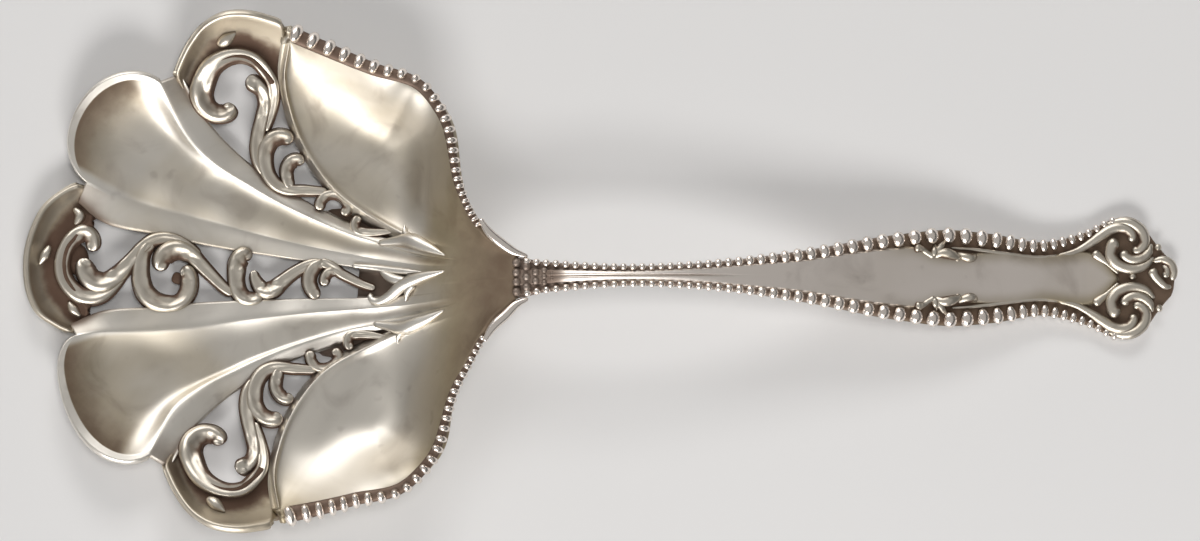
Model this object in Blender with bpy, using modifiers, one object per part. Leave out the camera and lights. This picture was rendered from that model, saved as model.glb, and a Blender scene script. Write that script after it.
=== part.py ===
"""Almond spoon: a scalloped bowl with pierced scroll panels, beaded borders and an arched handle.

The bowl's plan is a fan of rails that run from the neck seam (x = 0) toward the lip (-X).
The handle runs along +X. Everything stands on the table at z = 0 with +Z up.
"""
import math

import bmesh
import bpy
import numpy as np
from mathutils import Matrix, Vector

MM = 0.001

# Driving dimensions, in millimetres
SHEET = 0.9                # thickness of the bowl's sheet
SEAT_GAP = 0.25            # clearance between pieces that are soldered together
NECK_HEIGHT = 10.8         # top of the neck above the table
DEEPEST_X = -24.0          # where the bowl is lowest
LIP_RISE = 1.4             # climb of the dish from its floor to the lip
SIDE_RISE = 6.3            # climb of the dish from its floor to the shoulder's tip
SIDE_REACH = 25.3          # half width at which SIDE_RISE is reached
THROAT_START = -17.0       # where the floor starts to climb to the neck
THROAT_END = 2.0           # where that climb levels out
FLUTE_DEPTH = 1.4          # scoop of a flute below its ridges
REST_CUT = 0.3             # depth of the flat cut under a flute, on which the bowl stands
LOBE_BULGE = 5.4           # how far a flute's round end stands out from its chord
SHOULDER_DIP = 0.7         # hollow of the shoulder inside its ridge
RIDGE_WIDTH = 0.7          # rim of the shoulder outside its ridge
BOWL_YAW = 4.0             # degrees by which the bowl is set askew on the handle
BOWL_PIVOT_X = -12.0       # the point on the handle's axis about which it is turned

# Rails of the bowl's half plan, from the neck seam to the rim
CENTER_EDGE = ((0, 0.45), (-15, 1.6), (-25, 2.3), (-38, 4.2), (-44, 5.3), (-46.2, 7.1))
FLUTE_INNER = ((0, 0.9), (-11.5, 2.2), (-24, 3.8), (-33, 5.5), (-42, 7.5), (-45.4, 8.8))
FLUTE_OUTER = ((0, 1.35), (-11.3, 3.4), (-19.7, 5.85), (-28, 9.45), (-35.1, 14), (-38.2, 19.4))
SIDE_EDGE = ((0, 1.7), (-13, 4.6), (-23.8, 9.05), (-30, 12.9), (-33.2, 15.9), (-36.2, 20.4))
SHOULDER_RIDGE = ((0, 2.05), (-13.1, 5.8), (-20, 10.15), (-24.5, 17.3), (-25.2, 20.6), (-24.6, 23.2))
LEFT_SHOULDER_EDGE = ((0, 2.8), (-3.3, 4.6), (-6.2, 9.6), (-8.6, 17.6), (-11, 20.4), (-16, 21.8),
                      (-24.2, 24.2))
RIGHT_SHOULDER_EDGE = ((0, 2.8), (-2.9, 4.7), (-5.4, 9.9), (-7.6, 18.5), (-10.2, 21.4), (-15.7, 23.0),
                       (-24.2, 24.9))
EDGE_DROP = ((0, 0), (0.1, 0.3), (0.5, 0.8), (1, 2.2))   # of a shoulder's edge below the neck

# Mesh of the bowl
ROWS = 20
CENTER_OPEN_ROW = 6        # rows nearer the rim than this are pierced
SIDE_OPEN_ROW = 8
FLUTE_COLUMNS = 7
SHOULDER_COLUMNS = 6

# Hoods and running scrolls
LIP_ARC = (-43.24, 0.0)    # middle of the lip's round rim
LIP_ARC_RADIUS = 8.06
LIP_EYE = (-44.2, 0.0)     # middle of the volute under it
LIP_EYE_RADIUS = 3.0
SIDE_ARC = (-29.8, 20.7)   # the same for the side panels
SIDE_ARC_RADIUS = 5.9
SIDE_EYE = (-30.2, 19.4)
SIDE_EYE_RADIUS = 2.7
SIDE_HOOD_START = 45       # degrees at which a side hood starts, beside the shoulder's tip
HOOD_COVE = 0.8            # hollow of a hood behind its rim
SCROLL_RADIUS = 0.8        # the thickest wire of a scroll
SCROLL_SINK = 0.35         # depth of the scrolls' middle below the dish
SCROLL_BULB = 0.35         # swelling of a scroll's curled end over its own radius

# Strokes of the scrolls as (share of the rails' length, share of the panel's width), and their radius over
# SCROLL_RADIUS. The first stroke of the center panel runs on into the volute under the lip.
CENTER_STROKES = (
    (((0.81, 1.0), (0.84, 0.85), (0.865, 0.56), (0.89, 0.34), (0.93, 0.24)), 1.0),
    (((0.77, 0.97), (0.82, 1.0), (0.848, 0.65), (0.842, 0.3), (0.815, 0.03), (0.77, 0.0), (0.738, 0.2),
      (0.748, 0.5)), 0.8),
    (((0.612, 0.05), (0.665, 0.32), (0.7, 0.6), (0.735, 0.88), (0.77, 0.92), (0.795, 0.72),
      (0.79, 0.48)), 0.85),
    (((0.622, 0.95), (0.622, 0.5), (0.612, 0.05), (0.58, 0.0), (0.56, 0.25)), 0.65),
    (((0.46, 1.0), (0.51, 0.6), (0.545, 0.28), (0.575, 0.2), (0.59, 0.5), (0.592, 0.8)), 0.6),
    (((0.46, 1.0), (0.447, 0.7), (0.442, 0.35), (0.437, 0.0)), 0.5),
    (((0.46, 1.0), (0.42, 0.85), (0.385, 0.65), (0.35, 0.45), (0.325, 0.1)), 0.45),
)
SIDE_STROKES = (
    (((0.885, 0.92), (0.92, 0.97), (0.96, 0.8), (0.99, 0.5), (0.97, 0.22), (0.93, 0.05), (0.885, 0.08),
      (0.87, 0.28), (0.9, 0.4)), 1.0),
    (((0.56, 0.1), (0.66, 0.06), (0.73, 0.26), (0.79, 0.5), (0.84, 0.68), (0.885, 0.8), (0.92, 0.74),
      (0.932, 0.6)), 0.9),
    (((0.7, 0.12), (0.765, 0.42), (0.792, 0.7), (0.785, 0.92), (0.75, 0.95)), 0.75),
    (((0.645, 0.05), (0.685, 0.42), (0.705, 0.7), (0.705, 0.95)), 0.6),
    (((0.6, 0.1), (0.58, 0.6), (0.56, 0.9), (0.525, 0.9), (0.5, 0.6), (0.495, 0.2)), 0.5),
    (((0.505, 0.65), (0.48, 0.85), (0.455, 0.6), (0.43, 0.45)), 0.35),
)

# Beaded borders
BOWL_BEAD_TIP = 0.8        # bead radius at the shoulder's tip
BOWL_BEAD_NECK = 0.42
BEAD_WAIST = 0.55          # radius between two beads over the bead's radius
BEAD_PITCH = 1.15          # spacing of beads over their diameter
BEAD_START = 0.13          # where the border starts along the shoulder's edge

# Handle; its tables run over shares of its length
HANDLE_LENGTH = 69.3
HANDLE_THICK = 1.6
HANDLE_HALF_WIDTH = ((0, 2.0), (0.058, 1.7), (0.18, 1.25), (0.289, 1.6), (0.433, 2.9), (0.577, 4.7),
                     (0.657, 5.25), (0.722, 4.9), (0.801, 4.1), (0.866, 5.1), (0.916, 6.5), (0.952, 5.3),
                     (0.975, 3.2), (1, 0.8))
HANDLE_ARCH = ((0, 1), (0.058, 1.109), (0.144, 1.152), (0.346, 0.957), (0.548, 0.565), (0.75, 0.163),
               (0.866, 0), (1, 0))                         # climb over that of the neck
HANDLE_BEAD = ((0, 0.45), (0.361, 0.45), (0.548, 0.62), (0.678, 0.65), (0.808, 0.42), (1, 0.4))
HANDLE_ROWS = 56
BEADS_START = 3.4          # first bead beyond the seam
BEADS_END = 9.3            # last bead short of the handle's end
COLLAR_X = 1.8
COLLAR_BEAD = 0.45
VOLUTE_BACK = 5.4          # middle of the paired volutes short of the handle's end
VOLUTE_SPREAD = 3.0        # and out from its axis
VOLUTE_RADIUS = 2.4
END_VOLUTE_BACK = 2.1
END_VOLUTE_RADIUS = 1.2
VOLUTE_WIRE = 0.5


def smooth(points, x):
    """Cubic through (place, value) points, evaluated at x."""
    place, value = np.array(points, float).T
    slope = np.gradient(value, place)
    k = np.clip(np.searchsorted(place, x, side="right") - 1, 0, len(place) - 2)
    step = place[k + 1] - place[k]
    s = (np.clip(x, place[0], place[-1]) - place[k]) / step
    return ((2 * s ** 3 - 3 * s ** 2 + 1) * value[k] + (s ** 3 - 2 * s ** 2 + s) * step * slope[k]
            + (3 * s ** 2 - 2 * s ** 3) * value[k + 1] + (s ** 3 - s ** 2) * step * slope[k + 1])


def rail(points, t):
    """Point at share t of the length of a curve through plan points."""
    p = np.array(points, float)
    run = np.concatenate(([0], np.cumsum(np.hypot(*np.diff(p, axis=0).T))))
    run /= run[-1]
    return np.array([smooth(list(zip(run, axis)), t) for axis in p.T])


def ease(u):
    u = np.clip(u, 0, 1)
    return u * u * (3 - 2 * u)


FLOOR = SHEET + FLUTE_DEPTH - REST_CUT


def lip_x():
    """Tip of the lip: the far point of its round rim."""
    return LIP_ARC[0] - LIP_ARC_RADIUS


def dish(x, y):
    """Height of the bowl's plain dish, before flutes and shoulders."""
    lip = LIP_RISE * np.maximum(0, (DEEPEST_X - x) / (DEEPEST_X - lip_x())) ** 2
    throat = (NECK_HEIGHT - FLOOR) * ease((x - THROAT_START) / (THROAT_END - THROAT_START))
    throat /= ease(-THROAT_START / (THROAT_END - THROAT_START))
    return FLOOR + lip + throat + SIDE_RISE * (abs(y) / SIDE_REACH) ** 3.5


def ridge_foot(t):
    """Outer rim of the shoulder: its ridge moved toward the opening, closing at the seam."""
    a, b = rail(SHOULDER_RIDGE, max(t - 0.01, 0)), rail(SHOULDER_RIDGE, min(t + 0.01, 1))
    along = (b - a) / np.hypot(*(b - a))
    shift = RIDGE_WIDTH * ease(t / 0.3) * np.array((-along[1], along[0]))
    return rail(SHOULDER_RIDGE, t) + shift


def on_dish(p):
    return np.array((p[0], p[1], dish(p[0], p[1])))


def flute_point(s, t):
    """Scooped channel between its two ridges, with a round end."""
    a, b = rail(FLUTE_INNER, t), rail(FLUTE_OUTER, t)
    share = (1 - math.cos(math.pi * s)) / 2
    chord = (b - a) / np.hypot(*(b - a))
    bulge = LOBE_BULGE * math.sin(math.pi * s) * max(0, (t - 0.5) / 0.5) ** 1.6
    p = a + (b - a) * share + bulge * np.array((-chord[1], chord[0]))
    scoop = FLUTE_DEPTH * math.sin(math.pi * s) ** 0.8 * ease(t / 0.5) * (1 - t ** 6)
    return np.array((p[0], p[1], dish(p[0], p[1]) - scoop))


def shoulder_edge(side):
    return LEFT_SHOULDER_EDGE if side > 0 else RIGHT_SHOULDER_EDGE


def shoulder_point(s, t, side):
    """Hollow panel from the shoulder's ridge up to its edge; the right one spreads a little wider."""
    a, b = rail(SHOULDER_RIDGE, t), rail(shoulder_edge(side), t)
    p = a + (b - a) * s
    low, high = dish(a[0], a[1]), NECK_HEIGHT - smooth(EDGE_DROP, t)
    hollow = SHOULDER_DIP * math.sin(math.pi * s) * ease(t / 0.4) * (1 - t ** 4)
    return np.array((p[0], p[1], low + (high - low) * s ** 2.2 - hollow))


def strip(rail_a, rail_b):
    """Plain strip of the dish between two rails."""
    return lambda s, t: on_dish(rail_a(t) * (1 - s) + rail_b(t) * s)


def rail_of(points):
    return lambda t: rail(points, t)


def axis_rail(t):
    return rail(CENTER_EDGE, t) * np.array((1, 0))


def half_columns(side):
    """Columns of half the bowl from its axis outward: surface, share across it, row it is pierced from."""
    strips = (
        (strip(axis_rail, rail_of(CENTER_EDGE)), 1, CENTER_OPEN_ROW),
        (strip(rail_of(CENTER_EDGE), rail_of(FLUTE_INNER)), 1, None),
        (flute_point, FLUTE_COLUMNS, None),
        (strip(rail_of(FLUTE_OUTER), rail_of(SIDE_EDGE)), 1, None),
        (strip(rail_of(SIDE_EDGE), ridge_foot), 1, SIDE_OPEN_ROW),
        (strip(ridge_foot, rail_of(SHOULDER_RIDGE)), 1, None),
        (lambda s, t: shoulder_point(s, t, side), SHOULDER_COLUMNS, None),
    )
    columns = [(surface, k / count, open_row) for surface, count, open_row in strips for k in range(count)]
    return columns + [(strips[-1][0], 1.0, None)]


def clear_scene():
    for obj in list(bpy.data.objects):
        bpy.data.objects.remove(obj, do_unlink=True)


def make_collection(name):
    collection = bpy.data.collections.new(name)
    bpy.context.scene.collection.children.link(collection)
    return collection


def silver(name, tone, roughness):
    material = bpy.data.materials.new(name)
    material.use_nodes = True
    shader = material.node_tree.nodes["Principled BSDF"]
    shader.inputs["Base Color"].default_value = (*tone, 1)
    shader.inputs["Metallic"].default_value = 1.0
    shader.inputs["Roughness"].default_value = roughness
    return material


def add_mesh(name, bm, collection, parent, material=None):
    """Turn a bmesh drawn in millimetres into an object in metres."""
    bmesh.ops.scale(bm, vec=(MM, MM, MM), verts=bm.verts)
    mesh = bpy.data.meshes.new(name)
    bm.to_mesh(mesh)
    bm.free()
    obj = bpy.data.objects.new(name, mesh)
    collection.objects.link(obj)
    obj.parent = parent
    if material:
        mesh.materials.append(material)
    return obj


def grid_sheet(columns, rows, place):
    """Grid of columns by rows moved to place(column, row)."""
    bm = bmesh.new()
    bmesh.ops.create_grid(bm, x_segments=columns, y_segments=rows, size=0.5)
    cells = {v: (round((v.co.x + 0.5) * columns), round((v.co.y + 0.5) * rows)) for v in bm.verts}
    for v, (column, row) in cells.items():
        v.co = Vector(place(column, row))
    return bm, cells


def solidify(obj, thickness, offset=-1.0):
    modifier = obj.modifiers.new("sheet", "SOLIDIFY")
    modifier.thickness = thickness * MM
    modifier.offset = offset


def cut_rest(bowl, cutters, parent):
    """Cut the undersides of the flutes flat, level with the table."""
    width, depth = 2 * SIDE_REACH, 10 * REST_CUT
    bm = bmesh.new()
    bmesh.ops.create_cube(bm, size=1)
    bmesh.ops.scale(bm, vec=(width, width, depth), verts=bm.verts)
    bmesh.ops.translate(bm, vec=(DEEPEST_X, 0, -depth / 2), verts=bm.verts)
    table = add_mesh("table_cut", bm, cutters, parent)
    table.hide_render = True
    table.display_type = "WIRE"
    modifier = bowl.modifiers.new("rest", "BOOLEAN")
    modifier.operation = "DIFFERENCE"
    modifier.solver = "EXACT"
    modifier.object = table


def build_bowl(collection, cutters, parent, material):
    """Sheet of the bowl, drawn from its axis outward on both sides."""
    halves = {side: half_columns(side) for side in (1, -1)}
    reach = len(halves[1]) - 1

    def place(column, row):
        side = 1 if column >= reach else -1
        surface, s, _ = halves[side][abs(column - reach)]
        x, y, z = surface(s, row / ROWS)
        return x, side * y, z

    def is_pierced(face):
        column = sum(cells[v][0] for v in face.verts) / len(face.verts) - reach
        open_row = halves[1][int(abs(column))][2]
        return open_row is not None and min(cells[v][1] for v in face.verts) >= open_row

    bm, cells = grid_sheet(2 * reach, ROWS, place)
    bmesh.ops.delete(bm, geom=[f for f in bm.faces if is_pierced(f)], context="FACES")
    bmesh.ops.recalc_face_normals(bm, faces=bm.faces)
    if sum(f.normal.z for f in bm.faces) < 0:
        bmesh.ops.reverse_faces(bm, faces=bm.faces)
    bowl = add_mesh("bowl", bm, collection, parent, material)
    solidify(bowl, SHEET)
    cut_rest(bowl, cutters, parent)


def wire_mesh(name, points, radii, sides):
    """Closed tube mesh along points (mm) whose radius follows radii."""
    curve = bpy.data.curves.new(name, "CURVE")
    curve.dimensions = "3D"
    curve.bevel_depth = MM
    curve.bevel_resolution = (sides - 4) // 2
    curve.use_fill_caps = True
    spline = curve.splines.new("POLY")
    spline.points.add(len(points) - 1)
    for point, place, radius in zip(spline.points, points, radii):
        point.co = (*(c * MM for c in place), 1)
        point.radius = radius
    holder = bpy.data.objects.new(name, curve)
    bpy.context.scene.collection.objects.link(holder)
    graph = bpy.context.evaluated_depsgraph_get()
    mesh = bpy.data.meshes.new_from_object(holder.evaluated_get(graph), depsgraph=graph)
    bpy.data.objects.remove(holder, do_unlink=True)
    bm = bmesh.new()
    bm.from_mesh(mesh)
    bmesh.ops.remove_doubles(bm, verts=bm.verts, dist=1e-7)
    bmesh.ops.recalc_face_normals(bm, faces=bm.faces)
    bm.to_mesh(mesh)
    bm.free()
    mesh.name = name
    return mesh


def add_wire(name, points, radii, sides, collection, parent, material=None):
    mesh = wire_mesh(name, points, radii, sides)
    obj = bpy.data.objects.new(name, mesh)
    collection.objects.link(obj)
    obj.parent = parent
    if material:
        mesh.materials.append(material)
    return obj


def unite(base, extra):
    """Weld a helper body to a piece with a live union."""
    extra.hide_render = True
    extra.display_type = "WIRE"
    modifier = base.modifiers.new("with " + extra.name, "BOOLEAN")
    modifier.operation = "UNION"
    modifier.solver = "EXACT"
    modifier.use_self = True    # a thick wire may cut itself in a tight curl
    modifier.object = extra


def add_hood(name, rim, eye, span, side, collection, parent, material):
    """Crescent of sheet between a rim arc and the volute's arc, each a (center, radius)."""
    columns, rows = 12, 4

    def place(column, row):
        angle = math.radians(span[0] + (span[1] - span[0]) * column / columns)
        share = row / rows
        turn = np.array((math.cos(angle), math.sin(angle)))
        inner, outer = (np.array(center) + radius * turn for center, radius in (eye, rim))
        x, y = inner + (outer - inner) * share
        return x, side * y, dish(x, y) - HOOD_COVE * math.sin(math.pi * share)

    bm, _ = grid_sheet(columns, rows, place)
    bmesh.ops.recalc_face_normals(bm, faces=bm.faces)
    if sum(f.normal.z for f in bm.faces) < 0:
        bmesh.ops.reverse_faces(bm, faces=bm.faces)
    hood = add_mesh(name, bm, collection, parent, material)
    solidify(hood, SHEET)
    return hood


def hood_limit(edge, center, radius, way):
    """Angle in degrees at which a hood stops, clear of the flange that ends at the rim on that side."""
    x, y = rail(edge, 1.0) - np.array(center)
    return math.degrees(math.atan2(y, x) % math.tau + way * 3 * SEAT_GAP / radius)


def spiral(center, outer, eye, start, sweep, count):
    """Points of a volute that winds in from its outer radius to its eye."""
    share = np.linspace(0, 1, count)
    angle = np.radians(start + sweep * share)
    radius = outer + (eye - outer) * share
    return np.stack((center[0] + radius * np.cos(angle), center[1] + radius * np.sin(angle)), axis=1)


def scroll_radii(count, thick):
    """Thickness along a scroll: fullest in its middle, with a bulb at its curled end."""
    share = np.linspace(0, 1, count)
    bulb = SCROLL_BULB * np.exp(-((share - 0.95) / 0.05) ** 2)
    radii = thick * (0.8 + 0.2 * np.sin(math.pi * share) + bulb)
    radii[-1] = thick * 0.5
    return radii


def panel_point(edge_a, edge_b, t, u, radius):
    """Plan point of a panel, kept a wire's radius and the seat's gap inside the panel's edges."""
    a, b = edge_a(t), edge_b(t)
    along = edge_a(min(t + 0.01, 1)) - edge_a(t - 0.01)
    across = abs(along[0] * (b - a)[1] - along[1] * (b - a)[0]) / np.hypot(*along)
    inset = min(0.5, (radius * (1 + SCROLL_BULB) + SEAT_GAP) / across)
    return a + (b - a) * (inset + (1 - 2 * inset) * u)


def build_panel(name, hood, edges, strokes, side, tail, cutters, parent):
    """Weld the scrolls of a panel to its hood; tail is a volute that the first stroke ends in."""
    for number, (shares, scale) in enumerate(strokes, 1):
        radius = SCROLL_RADIUS * scale
        plan = [panel_point(*edges, t, u, radius) for t, u in shares]
        if number == 1:
            plan += list(tail)
        count = 3 * len(plan)
        path = [rail(plan, s) for s in np.linspace(0, 1, count)]
        points = [(x, side * y, dish(x, y) - SCROLL_SINK) for x, y in path]
        radii = scroll_radii(count, radius)
        unite(hood, add_wire(f"{name}_scroll_{number}", points, radii, 6, cutters, parent))


def beaded(path, radius, per_bead):
    """Points and radii of a beaded wire along path(share) whose beads have radius(share)."""
    shares = np.linspace(0, 1, 400)
    fine = np.array([path(s) for s in shares])
    run = np.concatenate(([0], np.cumsum(np.linalg.norm(np.diff(fine, axis=0), axis=1))))
    local = np.array([radius(s) for s in shares])
    turns = np.concatenate(([0], np.cumsum(np.diff(run) / (2 * BEAD_PITCH * local[:-1]))))
    count = round(turns[-1])
    steps = np.linspace(0, count, count * per_bead + 1)
    at = np.interp(steps * turns[-1] / count, turns, run)
    points = np.stack([np.interp(at, run, fine[:, k]) for k in range(3)], axis=1)
    swell = BEAD_WAIST + (1 - BEAD_WAIST) * np.abs(np.sin(math.pi * steps))
    return points, np.interp(at, run, local) * swell


def bowl_bead(share):
    return BOWL_BEAD_NECK + (BOWL_BEAD_TIP - BOWL_BEAD_NECK) * share


def bowl_bead_path(share, side):
    """Line of bead centers that stands on the rim of the shoulder's sheet."""
    t = BEAD_START + (1 - BEAD_START) * share
    edge, inside = shoulder_point(1.0, t, side), shoulder_point(0.96, t, side)
    up = (edge - inside) / np.linalg.norm(edge - inside)
    along = shoulder_point(1.0, min(t + 0.01, 1), side) - shoulder_point(1.0, t - 0.01, side)
    outward = np.cross(up, along / np.linalg.norm(along))
    outward *= np.sign(outward[1] + outward[0]) or 1
    x, y, z = edge + outward * SHEET / 2 + up * (bowl_bead(share) + SEAT_GAP)
    return x, side * y, z


def half_width(x):
    return smooth(HANDLE_HALF_WIDTH, x / HANDLE_LENGTH)


def handle_top(x):
    """Height of the blank's face, which arches from the neck; its end lies flat on the table."""
    climb = max(0, smooth(HANDLE_ARCH, x / HANDLE_LENGTH))
    return HANDLE_THICK + (NECK_HEIGHT - HANDLE_THICK) * climb


def seam_x():
    """Where the handle starts, clear of the leaning and askew end of the bowl's sheet."""
    slope = math.atan2(dish(0, 0) - dish(-0.1, 0), 0.1)
    half = max(shoulder_edge(side)[0][1] for side in (1, -1))
    askew = half * math.sin(math.radians(abs(BOWL_YAW)))
    return SEAT_GAP + SHEET * math.sin(slope) + askew


def build_handle(collection, parent, material):
    columns = 4
    start = seam_x()

    def place(column, row):
        x = start + (HANDLE_LENGTH - start) * row / HANDLE_ROWS
        return x, half_width(x) * (2 * column / columns - 1), handle_top(x)

    bm, _ = grid_sheet(columns, HANDLE_ROWS, place)
    copy = bmesh.ops.extrude_face_region(bm, geom=bm.faces[:])
    bottom = [v for v in copy["geom"] if isinstance(v, bmesh.types.BMVert)]
    for v in bottom:
        v.co.z -= HANDLE_THICK
    bmesh.ops.recalc_face_normals(bm, faces=bm.faces)
    return add_mesh("handle", bm, collection, parent, material)


def bead_x(share):
    return BEADS_START + (HANDLE_LENGTH - BEADS_END - BEADS_START) * share


def handle_bead(share):
    return smooth(HANDLE_BEAD, bead_x(share) / HANDLE_LENGTH)


def handle_bead_path(share, side):
    x, radius = bead_x(share), handle_bead(share)
    return x, side * (half_width(x) - radius), handle_top(x) + radius + SEAT_GAP


def collar_path(share):
    y = (2 * share - 1) * (half_width(COLLAR_X) - COLLAR_BEAD)
    return COLLAR_X, y, handle_top(COLLAR_X) + COLLAR_BEAD + SEAT_GAP


def build_terminal(collection, cutters, parent, material):
    """Two volutes and an end volute, welded to a short leaf on the handle's axis."""
    x, end_x = HANDLE_LENGTH - VOLUTE_BACK, HANDLE_LENGTH - END_VOLUTE_BACK
    level = handle_top(x) + VOLUTE_WIRE * (1 + SCROLL_BULB) + SEAT_GAP
    leaf_points = [(at, 0, level) for at in (x - 4.5, x - 2, x, end_x - 0.5)]
    leaf_radii = [VOLUTE_WIRE * share for share in (0.5, 1.3, 1.1, 0.8)]
    leaf = add_wire("terminal_scrolls", leaf_points, leaf_radii, 8, collection, parent, material)
    for name, side in (("left", 1), ("right", -1)):
        plan = spiral((x, side * VOLUTE_SPREAD), VOLUTE_RADIUS, 0.9, -side * 100, side * 450, 26)
        points = [(a, b, level) for a, b in plan]
        radii = scroll_radii(len(points), VOLUTE_WIRE)
        unite(leaf, add_wire(f"{name}_volute", points, radii, 6, cutters, parent))
    plan = spiral((end_x, 0), END_VOLUTE_RADIUS, 0.5, 180, 330, 16)
    points = [(a, b, level) for a, b in plan]
    radii = scroll_radii(len(points), 0.8 * VOLUTE_WIRE)
    unite(leaf, add_wire("end_volute", points, radii, 6, cutters, parent))


def center_on_table(root, collection):
    """Move the whole spoon so that the middle of its footprint is the origin."""
    bpy.context.view_layer.update()
    graph = bpy.context.evaluated_depsgraph_get()
    corners = []
    for obj in collection.objects:
        if obj.type == "MESH":
            final = obj.evaluated_get(graph)
            corners += [final.matrix_world @ v.co for v in final.data.vertices]
    low = Vector(min(c[k] for c in corners) for k in range(3))
    high = Vector(max(c[k] for c in corners) for k in range(3))
    root.location = (-(low.x + high.x) / 2, -(low.y + high.y) / 2, -low.z)


def main():
    clear_scene()
    spoon = make_collection("almond_spoon")
    cutters = make_collection("cutters")
    root = bpy.data.objects.new("spoon_frame", None)
    bowl_frame = bpy.data.objects.new("bowl_frame", None)
    for empty in (root, bowl_frame):
        spoon.objects.link(empty)
    bowl_frame.parent = root
    turn = Matrix.Rotation(math.radians(-BOWL_YAW), 4, "Z")
    pivot = Matrix.Translation((BOWL_PIVOT_X * MM, 0, 0))
    bowl_frame.matrix_local = pivot @ turn @ pivot.inverted()

    polished = silver("polished_silver", (0.78, 0.74, 0.67), 0.22)
    toned = silver("toned_silver", (0.55, 0.50, 0.43), 0.32)
    bright = silver("bright_silver", (0.86, 0.83, 0.78), 0.18)
    worn = silver("worn_silver", (0.72, 0.69, 0.64), 0.28)

    build_bowl(spoon, cutters, bowl_frame, polished)

    start = hood_limit(CENTER_EDGE, LIP_ARC, LIP_ARC_RADIUS, 1)
    eye = (LIP_EYE, LIP_EYE_RADIUS)
    hood = add_hood("center_scroll_panel", (LIP_ARC, LIP_ARC_RADIUS), eye, (start, 360 - start), 1,
                    spoon, bowl_frame, toned)
    edges = (lambda t: rail(CENTER_EDGE, t) * np.array((1, -1)), rail_of(CENTER_EDGE))
    tail = spiral(LIP_EYE, LIP_EYE_RADIUS, 0.45 * LIP_EYE_RADIUS, 270, -240, 8)
    build_panel("center", hood, edges, CENTER_STROKES, 1, tail, cutters, bowl_frame)

    eye = (SIDE_EYE, SIDE_EYE_RADIUS)
    span = (SIDE_HOOD_START, hood_limit(SIDE_EDGE, SIDE_ARC, SIDE_ARC_RADIUS, -1))
    edges = (rail_of(SIDE_EDGE), ridge_foot)
    for name, side in (("left", 1), ("right", -1)):
        hood = add_hood(f"{name}_scroll_panel", (SIDE_ARC, SIDE_ARC_RADIUS), eye, span, side,
                        spoon, bowl_frame, toned)
        build_panel(name, hood, edges, SIDE_STROKES, side, (), cutters, bowl_frame)
        points, radii = beaded(lambda s: bowl_bead_path(s, side), bowl_bead, 4)
        add_wire(f"{name}_bowl_beading", points, radii, 6, spoon, bowl_frame, bright)

    build_handle(spoon, root, worn)
    for name, side in (("left", 1), ("right", -1)):
        points, radii = beaded(lambda s: handle_bead_path(s, side), handle_bead, 2)
        add_wire(f"{name}_handle_beading", points, radii, 6, spoon, root, bright)
    points, radii = beaded(collar_path, lambda s: COLLAR_BEAD, 4)
    add_wire("neck_collar", points, radii, 6, spoon, root, bright)
    build_terminal(spoon, cutters, root, toned)
    center_on_table(root, spoon)


main()
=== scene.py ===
# %% [markdown]
# # A silver almond spoon
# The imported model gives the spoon's true place and size. This lesson dresses it: the same sheet, scrolls,
# beads and handle, drawn again as fine surfaces with worn, toned silver on them. The frame is loaded
# first, because every piece below goes where the frame says.

# %% load the frame
import math

import bpy
import numpy as np
from mathutils import Matrix, Vector


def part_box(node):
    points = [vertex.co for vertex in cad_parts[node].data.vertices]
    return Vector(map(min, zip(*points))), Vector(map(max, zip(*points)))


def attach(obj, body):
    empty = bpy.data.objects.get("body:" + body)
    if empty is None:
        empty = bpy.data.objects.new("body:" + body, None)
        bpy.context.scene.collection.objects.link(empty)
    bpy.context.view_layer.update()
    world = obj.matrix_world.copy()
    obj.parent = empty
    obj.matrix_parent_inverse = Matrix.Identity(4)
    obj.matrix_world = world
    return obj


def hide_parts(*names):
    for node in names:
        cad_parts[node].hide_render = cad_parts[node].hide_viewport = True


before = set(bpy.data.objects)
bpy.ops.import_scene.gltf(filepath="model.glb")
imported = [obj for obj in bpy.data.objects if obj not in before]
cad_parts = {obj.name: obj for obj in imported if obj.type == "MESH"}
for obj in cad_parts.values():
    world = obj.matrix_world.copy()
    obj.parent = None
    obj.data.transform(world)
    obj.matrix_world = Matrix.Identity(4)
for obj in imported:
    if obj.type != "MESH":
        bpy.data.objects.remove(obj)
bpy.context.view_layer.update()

MM = 0.001
print("frame nodes:", sorted(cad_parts))

# %% [markdown]
# ## Where things are
# A spoon maker measures from the seam where bowl and handle meet: the bowl runs to -X and the handle to
# +X. All shapes below are written in millimetres from that seam, and its place comes from the handle's
# box in the frame. The real bowl sits a few degrees askew on its handle, and its right half is drawn in a
# little. Each half could have outlines of its own, but one soft bend of the finished points keeps every
# list of points short. Here and below, a named pair of values is the start and the end of a soft step,
# which `ramp` makes.

# %% seam, turn and draw
HANDLE_LENGTH = 69.3
BOWL_YAW = math.radians(4.0)
BOWL_PIVOT = np.array((-12.0, 0.0, 0.0))
NECK_STRAIGHT, NECK_SIDES = (-1.0, 10.0), (13.0, 4.0)
HOOD_DRAW, HOOD_FROM, HOOD_RUN = 0.13, 9.0, (0.0, 12.0)
LOBE_DRAW, LOBE_RUN = 1.9, (21.0, 32.0)
LOBE_NEAR, LOBE_FAR = (4.5, 10.5), (21.0, 13.0)
handle_low, handle_high = (np.array(corner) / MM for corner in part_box("handle"))
SEAM = np.array((handle_high[0] - HANDLE_LENGTH, (handle_low[1] + handle_high[1]) / 2, 0.0))


def ramp(v, start, end):
    """Soft S from zero where v is at start to one where v is at end, level beyond both: 3 u^2 - 2 u^3."""
    u = np.clip((v - start) / (end - start), 0, 1)
    return u * u * (3 - 2 * u)


def handle_to_row(p):
    """Millimetres from the seam to metres in the row frame."""
    return (p + SEAM) * MM


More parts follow.
